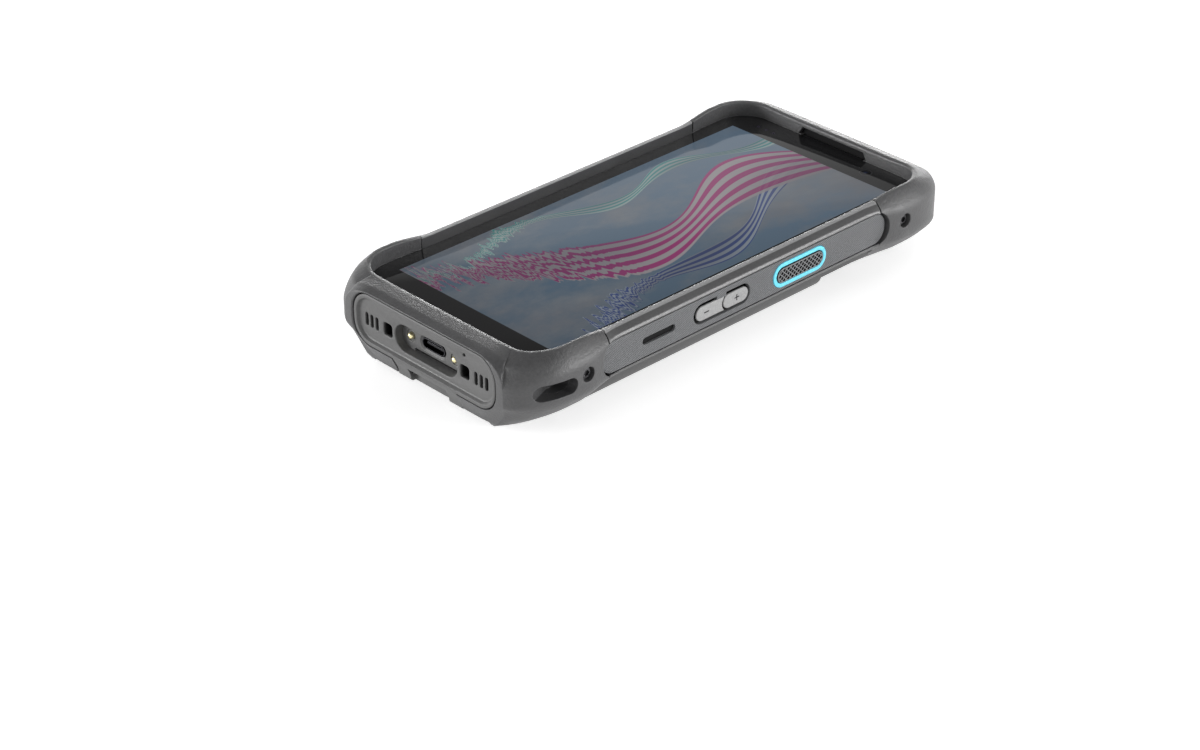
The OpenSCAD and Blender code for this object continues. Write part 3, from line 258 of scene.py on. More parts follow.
# insets [bottom end, top end, corner start, bumper, rail], heights [bottom end, top end,
# bottom corner, top corner, bumper, rail], crease, and how far each edge is rounded at the
# bottom end, the top end, the bumpers' sides and the rails
LEVELS = [
    ([FOOT_END, FOOT_END, CORNER_IN, FOOT_BUMPER, FOOT_RAIL], [GLASS_Z] * 6, 0, (0, 0, 0, 0)),
    ([FOOT_END - 0.1, FOOT_END - 0.1, CORNER_IN, FOOT_BUMPER + 0.2, FOOT_RAIL + 0.3],
     [CREST_END - 0.3, CREST_END - 0.3, CREST_END - 0.1, CREST_END - 0.1, CREST_CORNER - 0.2,
      CREST_SIDE], 0, (0.3, 0.5, 0.5, 0.15)),
    ([FOOT_END - 1.2, FOOT_END - 1.2, CORNER_IN - 0.4, FOOT_BUMPER - 1.1, 1.9],
     [CREST_END, CREST_END, CREST_END + 0.2, CREST_END + 0.2, CREST_CORNER, CREST_SIDE], 0,
     (0.5, 0.8, 0.8, 0.2)),
    ([2.6, 3.4, 1.9, 1.7, 1.1],
     [CREST_END - 0.15, CREST_END - 0.9, 21.4, CREST_END - 1.1, CREST_CORNER - 2.2,
      CREST_SIDE - 0.75], 0.5, (0.7, 1.6, 1.6, 0.2)),
    ([0.6, 1, 0.5, 0.4, 0.35],
     [CREST_END - 0.85, GLASS_Z + 0.9, 17.6, GLASS_Z + 0.7, BAND_TOP + 1.5,
      CREST_SIDE - 1.5], 1, (0.5, 1, 1, 0.15)),
    ([0, 0, 0, 0, 0],
     [CREST_END - 1.25, GLASS_Z - 1.2, 15.8, GLASS_Z - 1.3, BAND_TOP, SIDE_TOP], 1,
     (0.3, 0.9, 0.9, 0.2)),
    ([0, 0, 0, 0, 0], [6.9, FACE_LOW, 10.3, 6.8, BAND_LOW, SIDE_LOW], 1, (1.4,) * 4),
    ([1.3, 0.5, 0.8, 0.6, 0.4], [4.4, 2.4, 8.4, 5.8, BAND_LOW - 2.2, PART_Z], 1,
     (1.4, 1.2, 1.2, 1.2)),
    ([2.1, 1.2, 2.9, 3.6, 1.7], [2.6, 1.9, 5.0, 4.2, 5.8, BAY_Z], 1, (1, 2, 2, 2)),
    ([2.4, 2, 5.4, 9, 6.4], [1.3, 1.7, 2.0, 2.3, 2.2, 3.0], 1, (0.4, 2, 2, 2)),
    ([3, 3, 6.8, RIDGE_IN, 11.2], [0.9, 1.5, 0.8, 1.5, 0, 1.3], 1, (0,) * 4)]
END_STEPS = [0, 0.25, 0.5, 0.7, 0.76, 0.81, 0.86, 0.9, 0.935, 0.96, 0.98, 0.993, 1]
CORNER_N = 30
SIDE_STEPS = [mix(CORNER_Y, FLARE_IN, k / 26) for k in range(27)] + [40, 30, 19]
ROUND_N = 4


def bezier(points, t):
    a, b, c, d = points
    s = 1 - t
    return tuple(a[i] * s ** 3 + b[i] * 3 * t * s * s + c[i] * 3 * t * t * s + d[i] * t ** 3
                 for i in (0, 1))


def quarter(level, d):
    ins, zs, crease, radii = level
    e = 0 if d < 0 else 1
    ey, ex, bx, rx = HALF_L - ins[e], END_X - ins[2], BUMPER_X - ins[3], GRIP_X - ins[4]
    ze, zc, zb, zr = zs[e], zs[2 + e], zs[4], zs[5]
    curve = [(ex, ey), (ex + 0.5 * (bx - ex), ey - crease * 0.12 * (ey - CORNER_Y)),
             (bx, mix(CORNER_Y, ey, 0.55)), (bx, CORNER_Y)]
    points = []
    for s in END_STEPS:
        u = max(0, (s - 0.74) / 0.26)
        bend = 1 - math.sqrt(1 - u * u) if ze > zc + 1.5 else u
        points.append((ex * s, d * ey, mix(ze, zc, bend), radii[e]))
    for k in range(1, CORNER_N):
        t = k / CORNER_N
        x, y = bezier(curve, t)
        points.append((x, d * y, mix(zc, zb, smooth(t)), mix(radii[e], radii[2], smooth(2 * t))))
    for y in SIDE_STEPS:
        w = smooth((y - FLARE_IN) / (FLARE_OUT - FLARE_IN))
        points.append((mix(rx, bx, w), d * y, mix(zr, zb, w), mix(radii[3], radii[2], w)))
    return points


def level_points(level):
    right = quarter(level, -1) + quarter(level, 1)[::-1]
    return right + [(-x, *rest) for x, *rest in right[-2:0:-1]]


def column_rounded(column):
    """Rounds the inner corners of one upright section line."""
    out = [column[0][:3]]
    for i in range(1, len(column) - 1):
        p, q, r = (Vector(column[j][:3]) for j in (i - 1, i, i + 1))
        a, b = (p - q), (r - q)
        d = min(column[i][3], 0.46 * a.length, 0.46 * b.length)
        start, end = q + a.normalized() * d, q + b.normalized() * d
        for k in range(ROUND_N + 1):
            t = k / ROUND_N
            out.append(start * (1 - t) ** 2 + q * 2 * t * (1 - t) + end * t * t)
    out.append(column[-1][:3])
    return out


def shell():
    """The whole outer shell, one closed mesh."""
    rows = [level_points(level) for level in LEVELS]
    n = len(rows[0])
    columns = [column_rounded([row[i] for row in rows]) for i in range(n)]
    count = len(columns[0])
    verts = [columns[i][j] for j in range(count) for i in range(n)]
    faces = [(j * n + i, j * n + (i + 1) % n, (j + 1) * n + (i + 1) % n, (j + 1) * n + i)
             for j in range(count - 1) for i in range(n)]
    ends, mid, last = len(END_STEPS), n // 2, (count - 1) * n
    cap = [tuple(range(n - ends, n)) + tuple(range(0, ends + 1))]
    cap += [(i, i + 1, n - i - 1, n - i) for i in range(ends, mid - ends)]
    cap.append(tuple(range(mid - ends, mid + ends + 1)))
    faces += [f[::-1] for f in cap] + [tuple(i + last for i in f) for f in cap]
    return mesh_from(verts, faces)


def glass_outline(g):
    level = ([FOOT_END - g, FOOT_END - g, CORNER_IN - g, FOOT_BUMPER - g, FOOT_RAIL - g],
             [0] * 6, 0, (0,) * 4)
    return [(x, y) for x, y, *_ in level_points(level)]


# ---- materials
def rgb(text):
    """Linear colour of a hex sRGB colour."""
    values = [int(text[i:i + 2], 16) / 255 for i in (1, 3, 5)]
    return [v / 12.92 if v <= 0.04045 else ((v + 0.055) / 1.055) ** 2.4 for v in values] + [1]


def tinted(base, factor):
    return [c * factor for c in base[:3]] + [1]


class Nodes:
    """Short ways to add nodes to one material."""

    def __init__(self, name):
        self.material = bpy.data.materials.new(name)
        self.material.use_nodes = True
        self.tree = self.material.node_tree
        self.bsdf = self.tree.nodes["Principled BSDF"]
        self.coords = self.tree.nodes.new("ShaderNodeTexCoord").outputs["Object"]

    def feed(self, value, socket):
        """Gives a socket a constant or another node's output."""
        if isinstance(value, bpy.types.NodeSocket):
            self.tree.links.new(value, socket)
        else:
            socket.default_value = value

    def surface(self, name, value):
        self.feed(value, self.bsdf.inputs[name])

    def add(self, kind, inputs=None, **settings):
        node = self.tree.nodes.new("ShaderNode" + kind)
        for key, value in settings.items():
            setattr(node, key, value)
        for key, value in (inputs or {}).items():
            self.feed(value, node.inputs[key])
        return node

    def axes(self, scale=1):
        """The object's own x, y and z, times scale."""
        sep = self.add("SeparateXYZ", {0: self.coords})
        return [self.math("MULTIPLY", out, scale) if scale != 1 else out for out in sep.outputs]

    def math(self, op, *values):
        return self.add("Math", dict(enumerate(values)), operation=op).outputs[0]

    def noise(self, size, detail=2.0, rough=0.5, coords=None):
        """Noise whose main features are about size millimetres across."""
        return self.add("TexNoise", {"Vector": coords or self.coords, "Scale": 1000 / size,
                                     "Detail": detail, "Roughness": rough}).outputs["Fac"]

    def ramp(self, value, low, high, out_low=0.0, out_high=1.0):
        return self.add("MapRange", {"Value": value, "From Min": low, "From Max": high,
                                     "To Min": out_low, "To Max": out_high}).outputs[0]

    def blend(self, factor, a, b):
        return self.add("Mix", {"Factor": factor, "A": a, "B": b},
                        data_type="RGBA").outputs["Result"]

    def stretched(self, x, y, z, turn=0.0):
        return self.add("Mapping", {"Vector": self.coords, "Scale": (x, y, z),
                                    "Rotation": (0, 0, turn)}).outputs[0]

    def soft_edges(self, radius):
        """Normal that is rounded over edges, and how much it turns there."""
        soft = self.add("Bevel", {"Radius": radius / 1000}, samples=6).outputs[0]
        sharp = self.add("NewGeometry").outputs["Normal"]
        dot = self.add("VectorMath", {0: soft, 1: sharp}, operation="DOT_PRODUCT")
        return soft, self.ramp(dot.outputs["Value"], 0.995, 0.8)

    def bump(self, height, depth, normal=None):
        """Relief of height from 0 to 1 that is depth millimetres deep."""
        inputs = {"Distance": depth / 1000, "Height": height}
        if normal:
            inputs["Normal"] = normal
        return self.add("Bump", inputs).outputs[0]


def moulded(name, colour, rough=0.5, grain=0.9, depth=0.05, edge=0.25, edge_highlight=0.16, spec=0.5,
            vary=0.08, hollow_shade=None, ribs=None, low=None, crest_highlight=None):
    """Moulded plastic: eroded grain, slightly uneven colour, edges painted paler as a highlight.

    deep=(x, y): painted shade, near black, where the place is further out than x and further in
    than y.
    ribs=(pitch, start, dark colour): painted shade along slanting furrows. low=x: painted shade,
    near black, further in than x.
    crest=(z, colour): painted highlight in this colour above z."""
    m = Nodes(name)
    base = rgb(colour)
    fine, coarse = m.noise(grain, 3, 0.55), m.noise(14, 2)
    spots = m.noise(grain * 0.45, 1)
    body = m.blend(m.ramp(coarse, 0.35, 0.65), tinted(base, 1 - vary), tinted(base, 1 + vary))
    body = m.blend(m.ramp(fine, 0.4, 0.65, 0, 0.4), body, tinted(base, 1.45))
    normal = None
    if edge:
        normal, turned = m.soft_edges(edge)
        # painted highlight: edges are lightened where the surface turns, in place of the light they
        # catch
        painted_highlight = [min(1, c * 1.9 + 0.02) for c in base[:3]] + [1]
        body = m.blend(m.math("MULTIPLY", turned, edge_highlight), body, painted_highlight)
    # painted shade: the colour darkens along each groove of the ribs
    if ribs:
        pitch, start, dark = ribs
        y, z = m.axes(1000)[1:]
        line = m.math("SUBTRACT", m.math("ADD", y, z), start)
        furrow_shade = m.ramp(m.math("COSINE", m.math("MULTIPLY", line, 2 * math.pi / pitch)), 0.05,
                        0.85, 0, 0.8)
        body = m.blend(furrow_shade, body, rgb(dark))
    x, y, z = m.axes()
    far, near = m.math("ABSOLUTE", x), m.math("ABSOLUTE", y)
    # painted shade: near black on everything sunk below x, the pits and sides of the pad
    if low:
        body = m.blend(m.ramp(far, low / 1000, low / 1000 - 8e-5), body, rgb("#0c0c0d"))
    # painted highlight: everything above this height takes the pale colour, as a lit crest would
    if crest_highlight:
        high = m.ramp(z, crest_highlight[0] / 1000 - 1e-4, crest_highlight[0] / 1000 + 1e-4)
        body = m.blend(high, body, rgb(crest_highlight[1]))
    # painted shade: near black inside the openings, where shade falls
    if hollow_shade:
        hollow = m.math("MULTIPLY", m.ramp(far, hollow_shade[0] / 1000 - 2e-4, hollow_shade[0] / 1000),
                        m.ramp(near, hollow_shade[1] / 1000, hollow_shade[1] / 1000 - 8e-4))
        body = m.blend(hollow, body, rgb("#060606"))
    m.surface("Base Color", body)
    uneven = m.math("ADD", fine, m.math("MULTIPLY", coarse, 0.5))
    m.surface("Roughness", m.ramp(uneven, 0.5, 1.0, rough - 0.06, rough + 0.08))
    relief = m.math("ADD", m.math("MULTIPLY", fine, 0.7), m.math("MULTIPLY", spots, 0.3))
    m.surface("Normal", m.bump(relief, depth, normal))
    m.surface("Specular IOR Level", spec)
    return m.material


def polished(name, colour, rough=0.08, coat=0.0):
    """Glossy plastic or lens: faint waviness, dust-fine roughness changes."""
    m = Nodes(name)
    base = rgb(colour)
    cloud = m.noise(6, 3)
    m.surface("Base Color", m.blend(m.ramp(cloud, 0.3, 0.7), tinted(base, 0.85),
                                    tinted(base, 1.15)))
    m.surface("Roughness", m.ramp(m.noise(2.5, 4, 0.6), 0.3, 0.7, rough * 0.8, rough * 1.4))
    m.surface("Normal", m.bump(cloud, 0.01, m.soft_edges(0.15)[0]))
    m.surface("Coat Weight", coat)
    return m.material


def metal(name, colour, rough=0.3):
    """Metal with fine brushing along one direction."""
    m = Nodes(name)
    base = rgb(colour)
    brushed = m.noise(0.5, 3, 0.6, m.stretched(1, 1, 12))
    m.surface("Base Color", m.blend(m.ramp(brushed, 0.3, 0.7), tinted(base, 0.8),
                                    [min(1, c) for c in tinted(base, 1.15)]))
    m.surface("Roughness", m.ramp(brushed, 0.2, 0.8, rough * 0.8, rough * 1.25))
    m.surface("Normal", m.bump(brushed, 0.004, m.soft_edges(0.1)[0]))
    m.surface("Metallic", 1)
    return m.material


# the edges of the moulded materials below are painted paler, a painted highlight
BUMPER = moulded("bumper_grain", "#49494a", rough=0.42, grain=0.75, depth=0.16, edge=0.35,
                 edge_highlight=0.5, spec=0.6)
# the rails are painted pale above their crest height, a painted highlight
RAIL = moulded("rail_grain", "#3e3e3f", rough=0.38, grain=0.5, depth=0.04, edge=0.3, edge_highlight=0.6,
               spec=0.8, crest_highlight=(22.5, "#8c8c8d"))
# the panel's slots, holes and pocket are painted near black inside, painted shade
PANEL = moulded("panel_grain", "#585858", rough=0.48, grain=0.5, depth=0.03, edge=0.2,
                hollow_shade=(12.9, 81.5))
# the inlay is painted darker along each rib groove, painted shade
INLAY = moulded("inlay_ribbed", "#77787a", rough=0.42, grain=0.4, depth=0.015, edge=0.05,
                edge_highlight=0.1, ribs=(RIB_PITCH, KEY_Z - RIBS_Y, "#48494b"))
BATTERY = moulded("battery_grain", "#4f4f4f", rough=0.5, grain=0.7, depth=0.05, edge=0.3)
KEYCAP = moulded("key_satin", "#a4a4a4", rough=0.42, grain=0.5, depth=0.01, edge=0.2, edge_highlight=0.1)
# the pad is painted near black below its top face, painted shade in its pits and round its sides
PAD = moulded("key_pad_rubber", "#77787a", rough=0.45, grain=0.4, depth=0.01, edge=0.06,
              edge_highlight=0.35, low=38.5)
RING = moulded("key_ring_satin", "#74e2fa", rough=0.35, grain=0.7, depth=0.006, edge=0.15,
               edge_highlight=0.05, vary=0.03)
LATCH = moulded("latch_satin", "#3c3c3d", rough=0.45, grain=0.5, depth=0.02, edge=0.2)
SWITCH = moulded("inner_plastic", "#1d1d1f", rough=0.5, grain=0.5, depth=0.02, edge=0.15)
RUBBER = moulded("key_rubber", "#0b0b0c", rough=0.7, grain=0.4, depth=0.01, edge=0.1, spec=0.2)
GLOSS = polished("window_gloss", "#0e0e0e", rough=0.06)
LENS = polished("lens_black", "#08080a", rough=0.03, coat=0.5)
SCREW = metal("screw_black", "#565658", rough=0.3)
GOLD = metal("contact_gold", "#e0c183", rough=0.25)
PIN = metal("contact_pale", "#f0e6b8", rough=0.35)
STEEL = metal("steel", "#b8b8bc", rough=0.3)

FLASH = moulded("flash_emitter", "#e6dca0", rough=0.3, grain=0.5, depth=0.02, edge=0.1)
AMBER = moulded("amber_emitter", "#9a5a28", rough=0.35, grain=0.3, depth=0.01, edge=0.05)
CELL = moulded("cell_wrap", "#39424e", rough=0.35, grain=1.5, depth=0.03, edge=0.4)
TERMINAL = moulded("terminal_block", "#3a3530", rough=0.45, grain=0.5, depth=0.01, edge=0.1)
SEAL = moulded("seal_rubber", "#33507c", rough=0.6, grain=0.4, depth=0.01, edge=0.1)
PORT = metal("port_metal", "#3c3c3f", rough=0.35)
SCANNER = polished("scan_window", "#16090a", rough=0.05)


def circuit_board():
    """Lacquered board with tracks and joints."""
    m = Nodes("board_lacquer")
    tracks = m.add("TexBrick", {"Vector": m.stretched(420, 420, 420), "Color1": rgb("#12402a"),
                                "Color2": rgb("#174d33"), "Mortar": rgb("#2c7a4e"),
                                "Mortar Size": 0.03})
    dots = m.add("TexVoronoi", {"Vector": m.coords, "Scale": 700})
    pads = m.ramp(dots.outputs["Distance"], 0.16, 0.12)
    m.surface("Base Color", m.blend(pads, tracks.outputs["Color"], rgb("#b9a36a")))
    m.surface("Roughness", 0.35)
    m.surface("Normal", m.bump(pads, 0.03))
    return m.material


BOARD = circuit_board()


def screen_material():
    """Dark printed border round a lit picture: striped ribbons before a clouded sky."""
    m = Nodes("screen_picture")
    x, y = m.axes(1000)[:2]
    flat = m.add("CombineXYZ", {0: x, 1: y}).outputs[0]

    def distance(cx, cy):
        return m.add("VectorMath", {0: flat, 1: (cx, cy, 0)},
                     operation="DISTANCE").outputs["Value"]

    def inside(value, limit, soft=0.12):
        return m.ramp(value, limit + soft, limit - soft)

    streaks = m.noise(30, 5, 0.55, m.stretched(1.0, 0.42, 1.0, 0.35))
    puffs = m.noise(13, 7, 0.62, m.stretched(1.0, 0.62, 1.0, 0.35))
    picture = m.blend(m.ramp(y, -64, 64), rgb("#586d80"), rgb("#6e8499"))
    cloud = m.ramp(m.math("MULTIPLY_ADD", streaks, 0.55, m.math("MULTIPLY", puffs, 0.45)),
                   0.44, 0.62, 0, 0.8)
    picture = m.blend(cloud, picture, rgb("#8b8d90"))
    under = m.ramp(m.math("MULTIPLY_ADD", puffs, -0.5, streaks), 0.2, 0.36, 0, 0.4)
    picture = m.blend(m.math("MULTIPLY", under, cloud), picture, rgb("#6d6a70"))
    ripple = m.math("MULTIPLY", m.ramp(m.noise(1.5, 2, 0.5, m.stretched(0.12, 1.0, 1.0)), 0.3,
                                       0.7, -1, 1), m.ramp(y, -14, -60, 0, 6.5))
    for x0, lean, sway, length, phase, wide, pitch, first, second, strong in (
            (20, -0.26, 5, 13, 0.6, 3.2, 1.9, "#3d5290", "#a3adb8", 0.85),
            (-1, 0.16, 11, 19, 2.1, 8.2, 3.6, "#b0387f", "#b8b1b3", 0.9),
            (-22, 0.04, 4, 9, 1.0, 1.9, 1.2, "#3f9c99", "#adbfbb", 0.8)):
        turn = m.math("MULTIPLY_ADD", y, 1 / length, phase)
        spine = m.math("MULTIPLY_ADD", m.math("SINE", turn), sway,
                       m.math("MULTIPLY_ADD", y, lean, x0))
        across = m.math("SUBTRACT", m.math("ADD", x, ripple), spine)
        half = m.math("MULTIPLY_ADD", m.math("SINE", m.math("MULTIPLY", turn, 1.7)), 0.35 * wide,
                      wide)
        share = m.math("DIVIDE", across, half)
        wave = m.math("SINE", m.math("MULTIPLY", share, 2 * math.pi * wide / pitch))
        colour = m.blend(m.ramp(wave, -0.2, 0.2), rgb(first), rgb(second))
        fold = m.ramp(m.math("COSINE", m.math("MULTIPLY_ADD", share, 0.9, turn)), -1, 1, 0.05,
                      0.5)
        colour = m.blend(fold, colour, rgb("#38304a"))
        mask = m.math("MULTIPLY", inside(m.math("ABSOLUTE", share), 1.0, 0.02), strong)
        picture = m.blend(mask, picture, colour)
    edge = m.math("MULTIPLY", inside(m.math("ABSOLUTE", x), SCREEN_X, 0.08),
                  inside(m.math("ABSOLUTE", y), SCREEN_Y, 0.08))
    colour = m.blend(edge, rgb("#262627"), m.blend(0.62, picture, [0, 0, 0, 1]))
    sensor = ((0.95, "#1c1a22"), (0.45, "#3a3644"))
    for cx, rings in ((17.8, ((1.9, "#3a3a3d"), (1.6, "#060608"), (0.6, "#1a2440"))),
                      (-24.4, sensor), (-21.3, sensor), (-18.3, sensor)):
        spot = distance(cx, 69.6)
        for radius, shade in rings:
            colour = m.blend(inside(spot, radius), colour, rgb(shade))
    m.surface("Base Color", colour)
    m.surface("Emission Color", picture)
    m.surface("Emission Strength", m.math("MULTIPLY", edge, 0.3))
    m.surface("Roughness", m.ramp(m.noise(20, 3), 0.3, 0.7, 0.04, 0.08))
    m.surface("Specular IOR Level", 0.22)
    return m.material


SCREEN = screen_material()

# ---- shell pieces
INLAY_SHAPE = grown(rounded, -INLAY_Y, INLAY_Y, KEY_Z - INLAY_H / 2, KEY_Z + INLAY_H / 2, 4.6)
INLAY_CUT = prism(INLAY_SHAPE(0), INLAY_IN, BEYOND, "x")
INLAY_CUT_WIDE = prism(INLAY_SHAPE(GAP), INLAY_IN, BEYOND, "x")
CORE = [(37, -70), (37, 70), (30.5, 78), (-30.5, 78), (-37, 70), (-37, -70), (-30.5, -78),
        (30.5, -78)]
REAR_HOLES = ((29.4, 67.6), (30.6, -66.5))


def screw_recess(y):
    return both_sides(sink(grown(circle, y, KEY_Z, 2.1), BUMPER_X, 1.9, "x", 0.25))


def rear_holes(d):
    x, y = REAR_HOLES[0 if d > 0 else 1]
    return both_sides(prism(circle(x, y, 2.1), -3, SCREW_SEAT))


def dish(plan, side):
    plan = plan + [(-x, y) for x, y in plan[::-1] if x > 0]
    across = prism(side, -40, 40, "x")
    return boolean(prism(plan, -2, 7), across, "INTERSECT")


def lanyard_cutter():
    y, z, x = -71.6, KEY_Z - 1, 33.8
    body = prism(slot(12.6, 4.6, y, z), x, BEYOND, "x")
    ramp = prism([(x - 1, y + 1), (x, y + 1), (BUMPER_X - 3.4, y - 7.3), (x - 1, -BEYOND)],
                 z - 5, z + 5)
    return both_sides(boolean(body, ramp))


def strap_plan(g):
    return [(-9.2 - g, -71 + g), (-12.6 - g, -80), (-12.6 - g, -83 - g), (12.6 + g, -83 - g),
            (12.6 + g, -80), (9.2 + g, -71 + g)]


PANEL_LOW = grown(rounded, -28, 28, 6.5, 21.9, 6.4)
PANEL_TOP = grown(rounded, -28, 28, 2.9, 16.3, 6)


def bumper(d, bay, core, hollow, panel, *rest):
    """One end of the shell, cut off at its seam, hollowed and open for its panel."""
    mouth = ((1.6, 85), (0.75, HALF_L), (0.42, 82.75), (GAP, 82.3), (GAP, 78))
    return carved(
        shell(), prism(bay, -5, PART_Z + 0.05),
        box(-BEYOND, BEYOND, *sorted((-d * BEYOND, d * (SEAM_Y + SEAM_GAP))), PART_Z, BEYOND),
        prism(CORE, PART_Z, GLASS_Z), core, hollow, INLAY_CUT_WIDE, mirrored(INLAY_CUT_WIDE),
        screw_recess(d * SCREW_Y), rear_holes(d),
        stack([(panel(g), d * y) for g, y in mouth], "y"), *rest)


def charging_bumper():
    bay = [(-BEYOND, -SEAM_Y), (-38.2, -SEAM_Y), (-38.2, -56), (-26.5, -62.2), (26.5, -62.2),
           (38.2, -56), (38.2, -SEAM_Y), (BEYOND, -SEAM_Y), (BEYOND, BEYOND), (-BEYOND, BEYOND)]
    low = [(24.4, -61.2), (24.4, -66), (23.9, -71), (23.2, -77), (22.8, -82), (22.8, -90)]
    side = [(-61.2, -2), (-90, -2), (-90, 1.8), (-72, 1.4), (-63.7, 1.3), (-62.2, 2.2),
            (-61.2, 2.2)]
    core = box(-26.5, 26.5, -78, -60, COVER_TOP, PART_Z + 0.02)
    return bumper(-1, bay, core, dish(low, side), PANEL_LOW, prism(strap_plan(GAP), -2, 7),
                  lanyard_cutter())


def scanner_bumper():
    bay = [(-BEYOND, SEAM_Y), (-38.2, SEAM_Y), (-24.5, 47), (24.5, 47), (38.2, SEAM_Y),
           (BEYOND, SEAM_Y), (BEYOND, -BEYOND), (-BEYOND, -BEYOND)]
    core = [(-24.5, 47), (24.5, 47), (27, 48.4), (27, 78), (-27, 78), (-27, 48.4)]
    low = [(24.2, 46), (24.2, 63), (23.9, 68), (23.2, 73), (22.3, 78), (21.8, 82), (21.8, 90)]
    side = [(46, -2), (90, -2), (90, 1.1), (80, 1.8), (68.6, CAMERA_Z), (46, CAMERA_Z)]
    window = grown(rounded, -24.1, 24.1, 42, 68.3, 4)
    notch = [(-13.8, GLASS_Z - 1), (-11.8, GLASS_Z + 2.4), (11.8, GLASS_Z + 2.4),
             (13.8, GLASS_Z - 1)]
    return bumper(1, bay, prism(core, COVER_TOP, PART_Z + 0.02), dish(low, side), PANEL_TOP,
                  stack([(window(1.2), 0.5), (window(0.5), CAMERA_Z - 0.1),
                         (window(0.15), CAMERA_Z + 0.3), (window(0.15), COVER_TOP)]),
                  prism(notch, 70, 76.6, "y"))


def front_frame():
    me = carved(shell(), box(-BEYOND, BEYOND, SEAM_Y, BEYOND, -5, BEYOND),
                box(-BEYOND, BEYOND, -BEYOND, -SEAM_Y, -5, BEYOND),
                box(-BEYOND, BEYOND, -BEYOND, BEYOND, -5, PART_Z))
    me = boolean(me, prism(CORE, PART_Z, GLASS_Z), "UNION")
    wells = [prism(slot(*RING_HOLE, SCAN_Y, KEY_Z), 34.5, BEYOND, "x")]
    wells.append(mirrored(wells[0]))
    wells.append(prism(slot(21.4, 6.6, VOLUME_Y, KEY_Z), 34.5, BEYOND, "x"))
    return carved(
        me, prism(glass_outline(0), GLASS_LOW, 30), box(-33.2, 33.2, -72.4, 72.4, 16.5, 18.5),
        box(-30, 30, -71, 70, 9, 15.3), box(-11.5, 25.4, 69, 79, 9, 15.3),
        box(-26, 26, -79, -70.6, 9, 17.5),
        INLAY_CUT, mirrored(INLAY_CUT), joined(*wells), lanyard_cutter(),
        box(-12, 12, 73.6, 76.4, 17.5, 20.5))


piece("bumper_charging_end", charging_bumper(), "bottom_bumper", BUMPER, 17)
piece("bumper_scanner_end", scanner_bumper(), "top_bumper", BUMPER, 17)
piece("front_rails", front_frame(), "front_frame", RAIL, 17)

# ---- side inlays and keys
def grooves(y0, y1, pitch, reach, face, depth):
    """V-shaped grooves at 45 degrees across a side face, as one cutter."""
    top = 0.04
    wide = 1.25 * (depth + top) * math.sqrt(0.5)
    verts, faces = [], []
    for k in range(int((y1 - y0) / pitch) + 1):
        y = y0 + k * pitch
        for end in (-reach, reach):
            cy, cz = y + end, KEY_Z - end
            verts += [(face + top, cy - wide, cz - wide), (face + top, cy + wide, cz + wide),
                      (face - depth, cy, cz)]
        a = 6 * k
        faces += [(a, a + 1, a + 2), (a + 3, a + 5, a + 4), (a, a + 3, a + 4, a + 1),
                  (a + 1, a + 4, a + 5, a + 2), (a + 2, a + 5, a + 3, a)]
    return mesh_from(verts, faces)


def inlay(right):
    me = plate(lambda g: INLAY_SHAPE(g - GAP), INLAY_IN, GRIP_X, "x", edge1=0.22)
    me = carved(me, grooves(-RIBS_Y, RIBS_Y, RIB_PITCH, 6.5, GRIP_X, RIB_DEEP),
                sink(grown(slot, *RING_HOLE, SCAN_Y, KEY_Z), GRIP_X, 3, "x", 0.12))
    if right:
        well = sink(grown(slot, 21.6, 6.1, VOLUME_Y - 0.1, KEY_Z), GRIP_X, 3, "x", 0.2)
        me = carved(me, boolean(well, box(30, 50, -12.4, -8.9, KEY_Z + 2.0, 30)),
                    sink(grown(slot, 12, 2.1, SPEAKER_Y, KEY_Z), GRIP_X, 0.9, "x", 0.2))
    return me


def scan_ring():
    me = plate(grown(slot, 21.1, 7.3, SCAN_Y, KEY_Z), INLAY_IN, RING_FACE, "x", edge1=0.25)
    return boolean(me, sink(grown(slot, 18.7, 4.9, SCAN_Y, KEY_Z), RING_FACE, 4, "x", 0.2))


def scan_pad():
    me = plate(grown(slot, 18.4, 4.6, SCAN_Y, KEY_Z), 35.5, 38.55, "x", edge1=0.4)
    spots = [(SCAN_Y + i * 0.82, KEY_Z + j * 0.74) for i in range(-11, 12)
             for j in range(-3, 4) if (i + j) % 2 == 0]
    pits = [prism([(y - 0.62, z), (y, z - 0.56), (y + 0.62, z), (y, z + 0.56)], 38.2, BEYOND,
                  "x") for y, z in spots]
    inner = prism(slot(17.5, 3.8, SCAN_Y, KEY_Z), 38, BEYOND, "x")
    return boolean(me, boolean(joined(*pits), inner, "INTERSECT"))


piece("side_inlay_right", inlay(True), "right_inlay", INLAY, 20)
piece("side_inlay_left", mirrored(inlay(False)), "left_inlay", INLAY, 20)
piece("trigger_ring_right", scan_ring(), "scan_ring_right", RING)
piece("trigger_ring_left", mirrored(scan_ring()), "scan_ring_left", RING)
piece("trigger_pad_right", scan_pad(), "scan_key_right", PAD, 20, "right scan key")
piece("trigger_pad_left", mirrored(scan_pad()), "scan_key_left", PAD, 20,
      "left scan key")

KEY_FACE = 37.9
KEY_MID = KEY_Z - 0.2           # the caps sit low in their well
VOLUME_H = 4.3
SPLIT_Y = -9.7
DIVIDE_Y = SPLIT_Y + VOLUME_H / 2
SIGN_DEEP, SIGN_LOW = 0.16, 0.09


def bars(cu, cv, half, width, upright):
    """Outline of a minus sign, or of a plus sign where upright is set."""
    w = width / 2
    if not upright:
        return [(cu - half, cv - w), (cu + half, cv - w), (cu + half, cv + w), (cu - half, cv + w)]
    return [(cu - half, cv - w), (cu - w, cv - w), (cu - w, cv - half), (cu + w, cv - half),
            (cu + w, cv - w), (cu + half, cv - w), (cu + half, cv + w), (cu + w, cv + w),
            (cu + w, cv + half), (cu - w, cv + half), (cu - w, cv + w), (cu - half, cv + w)]


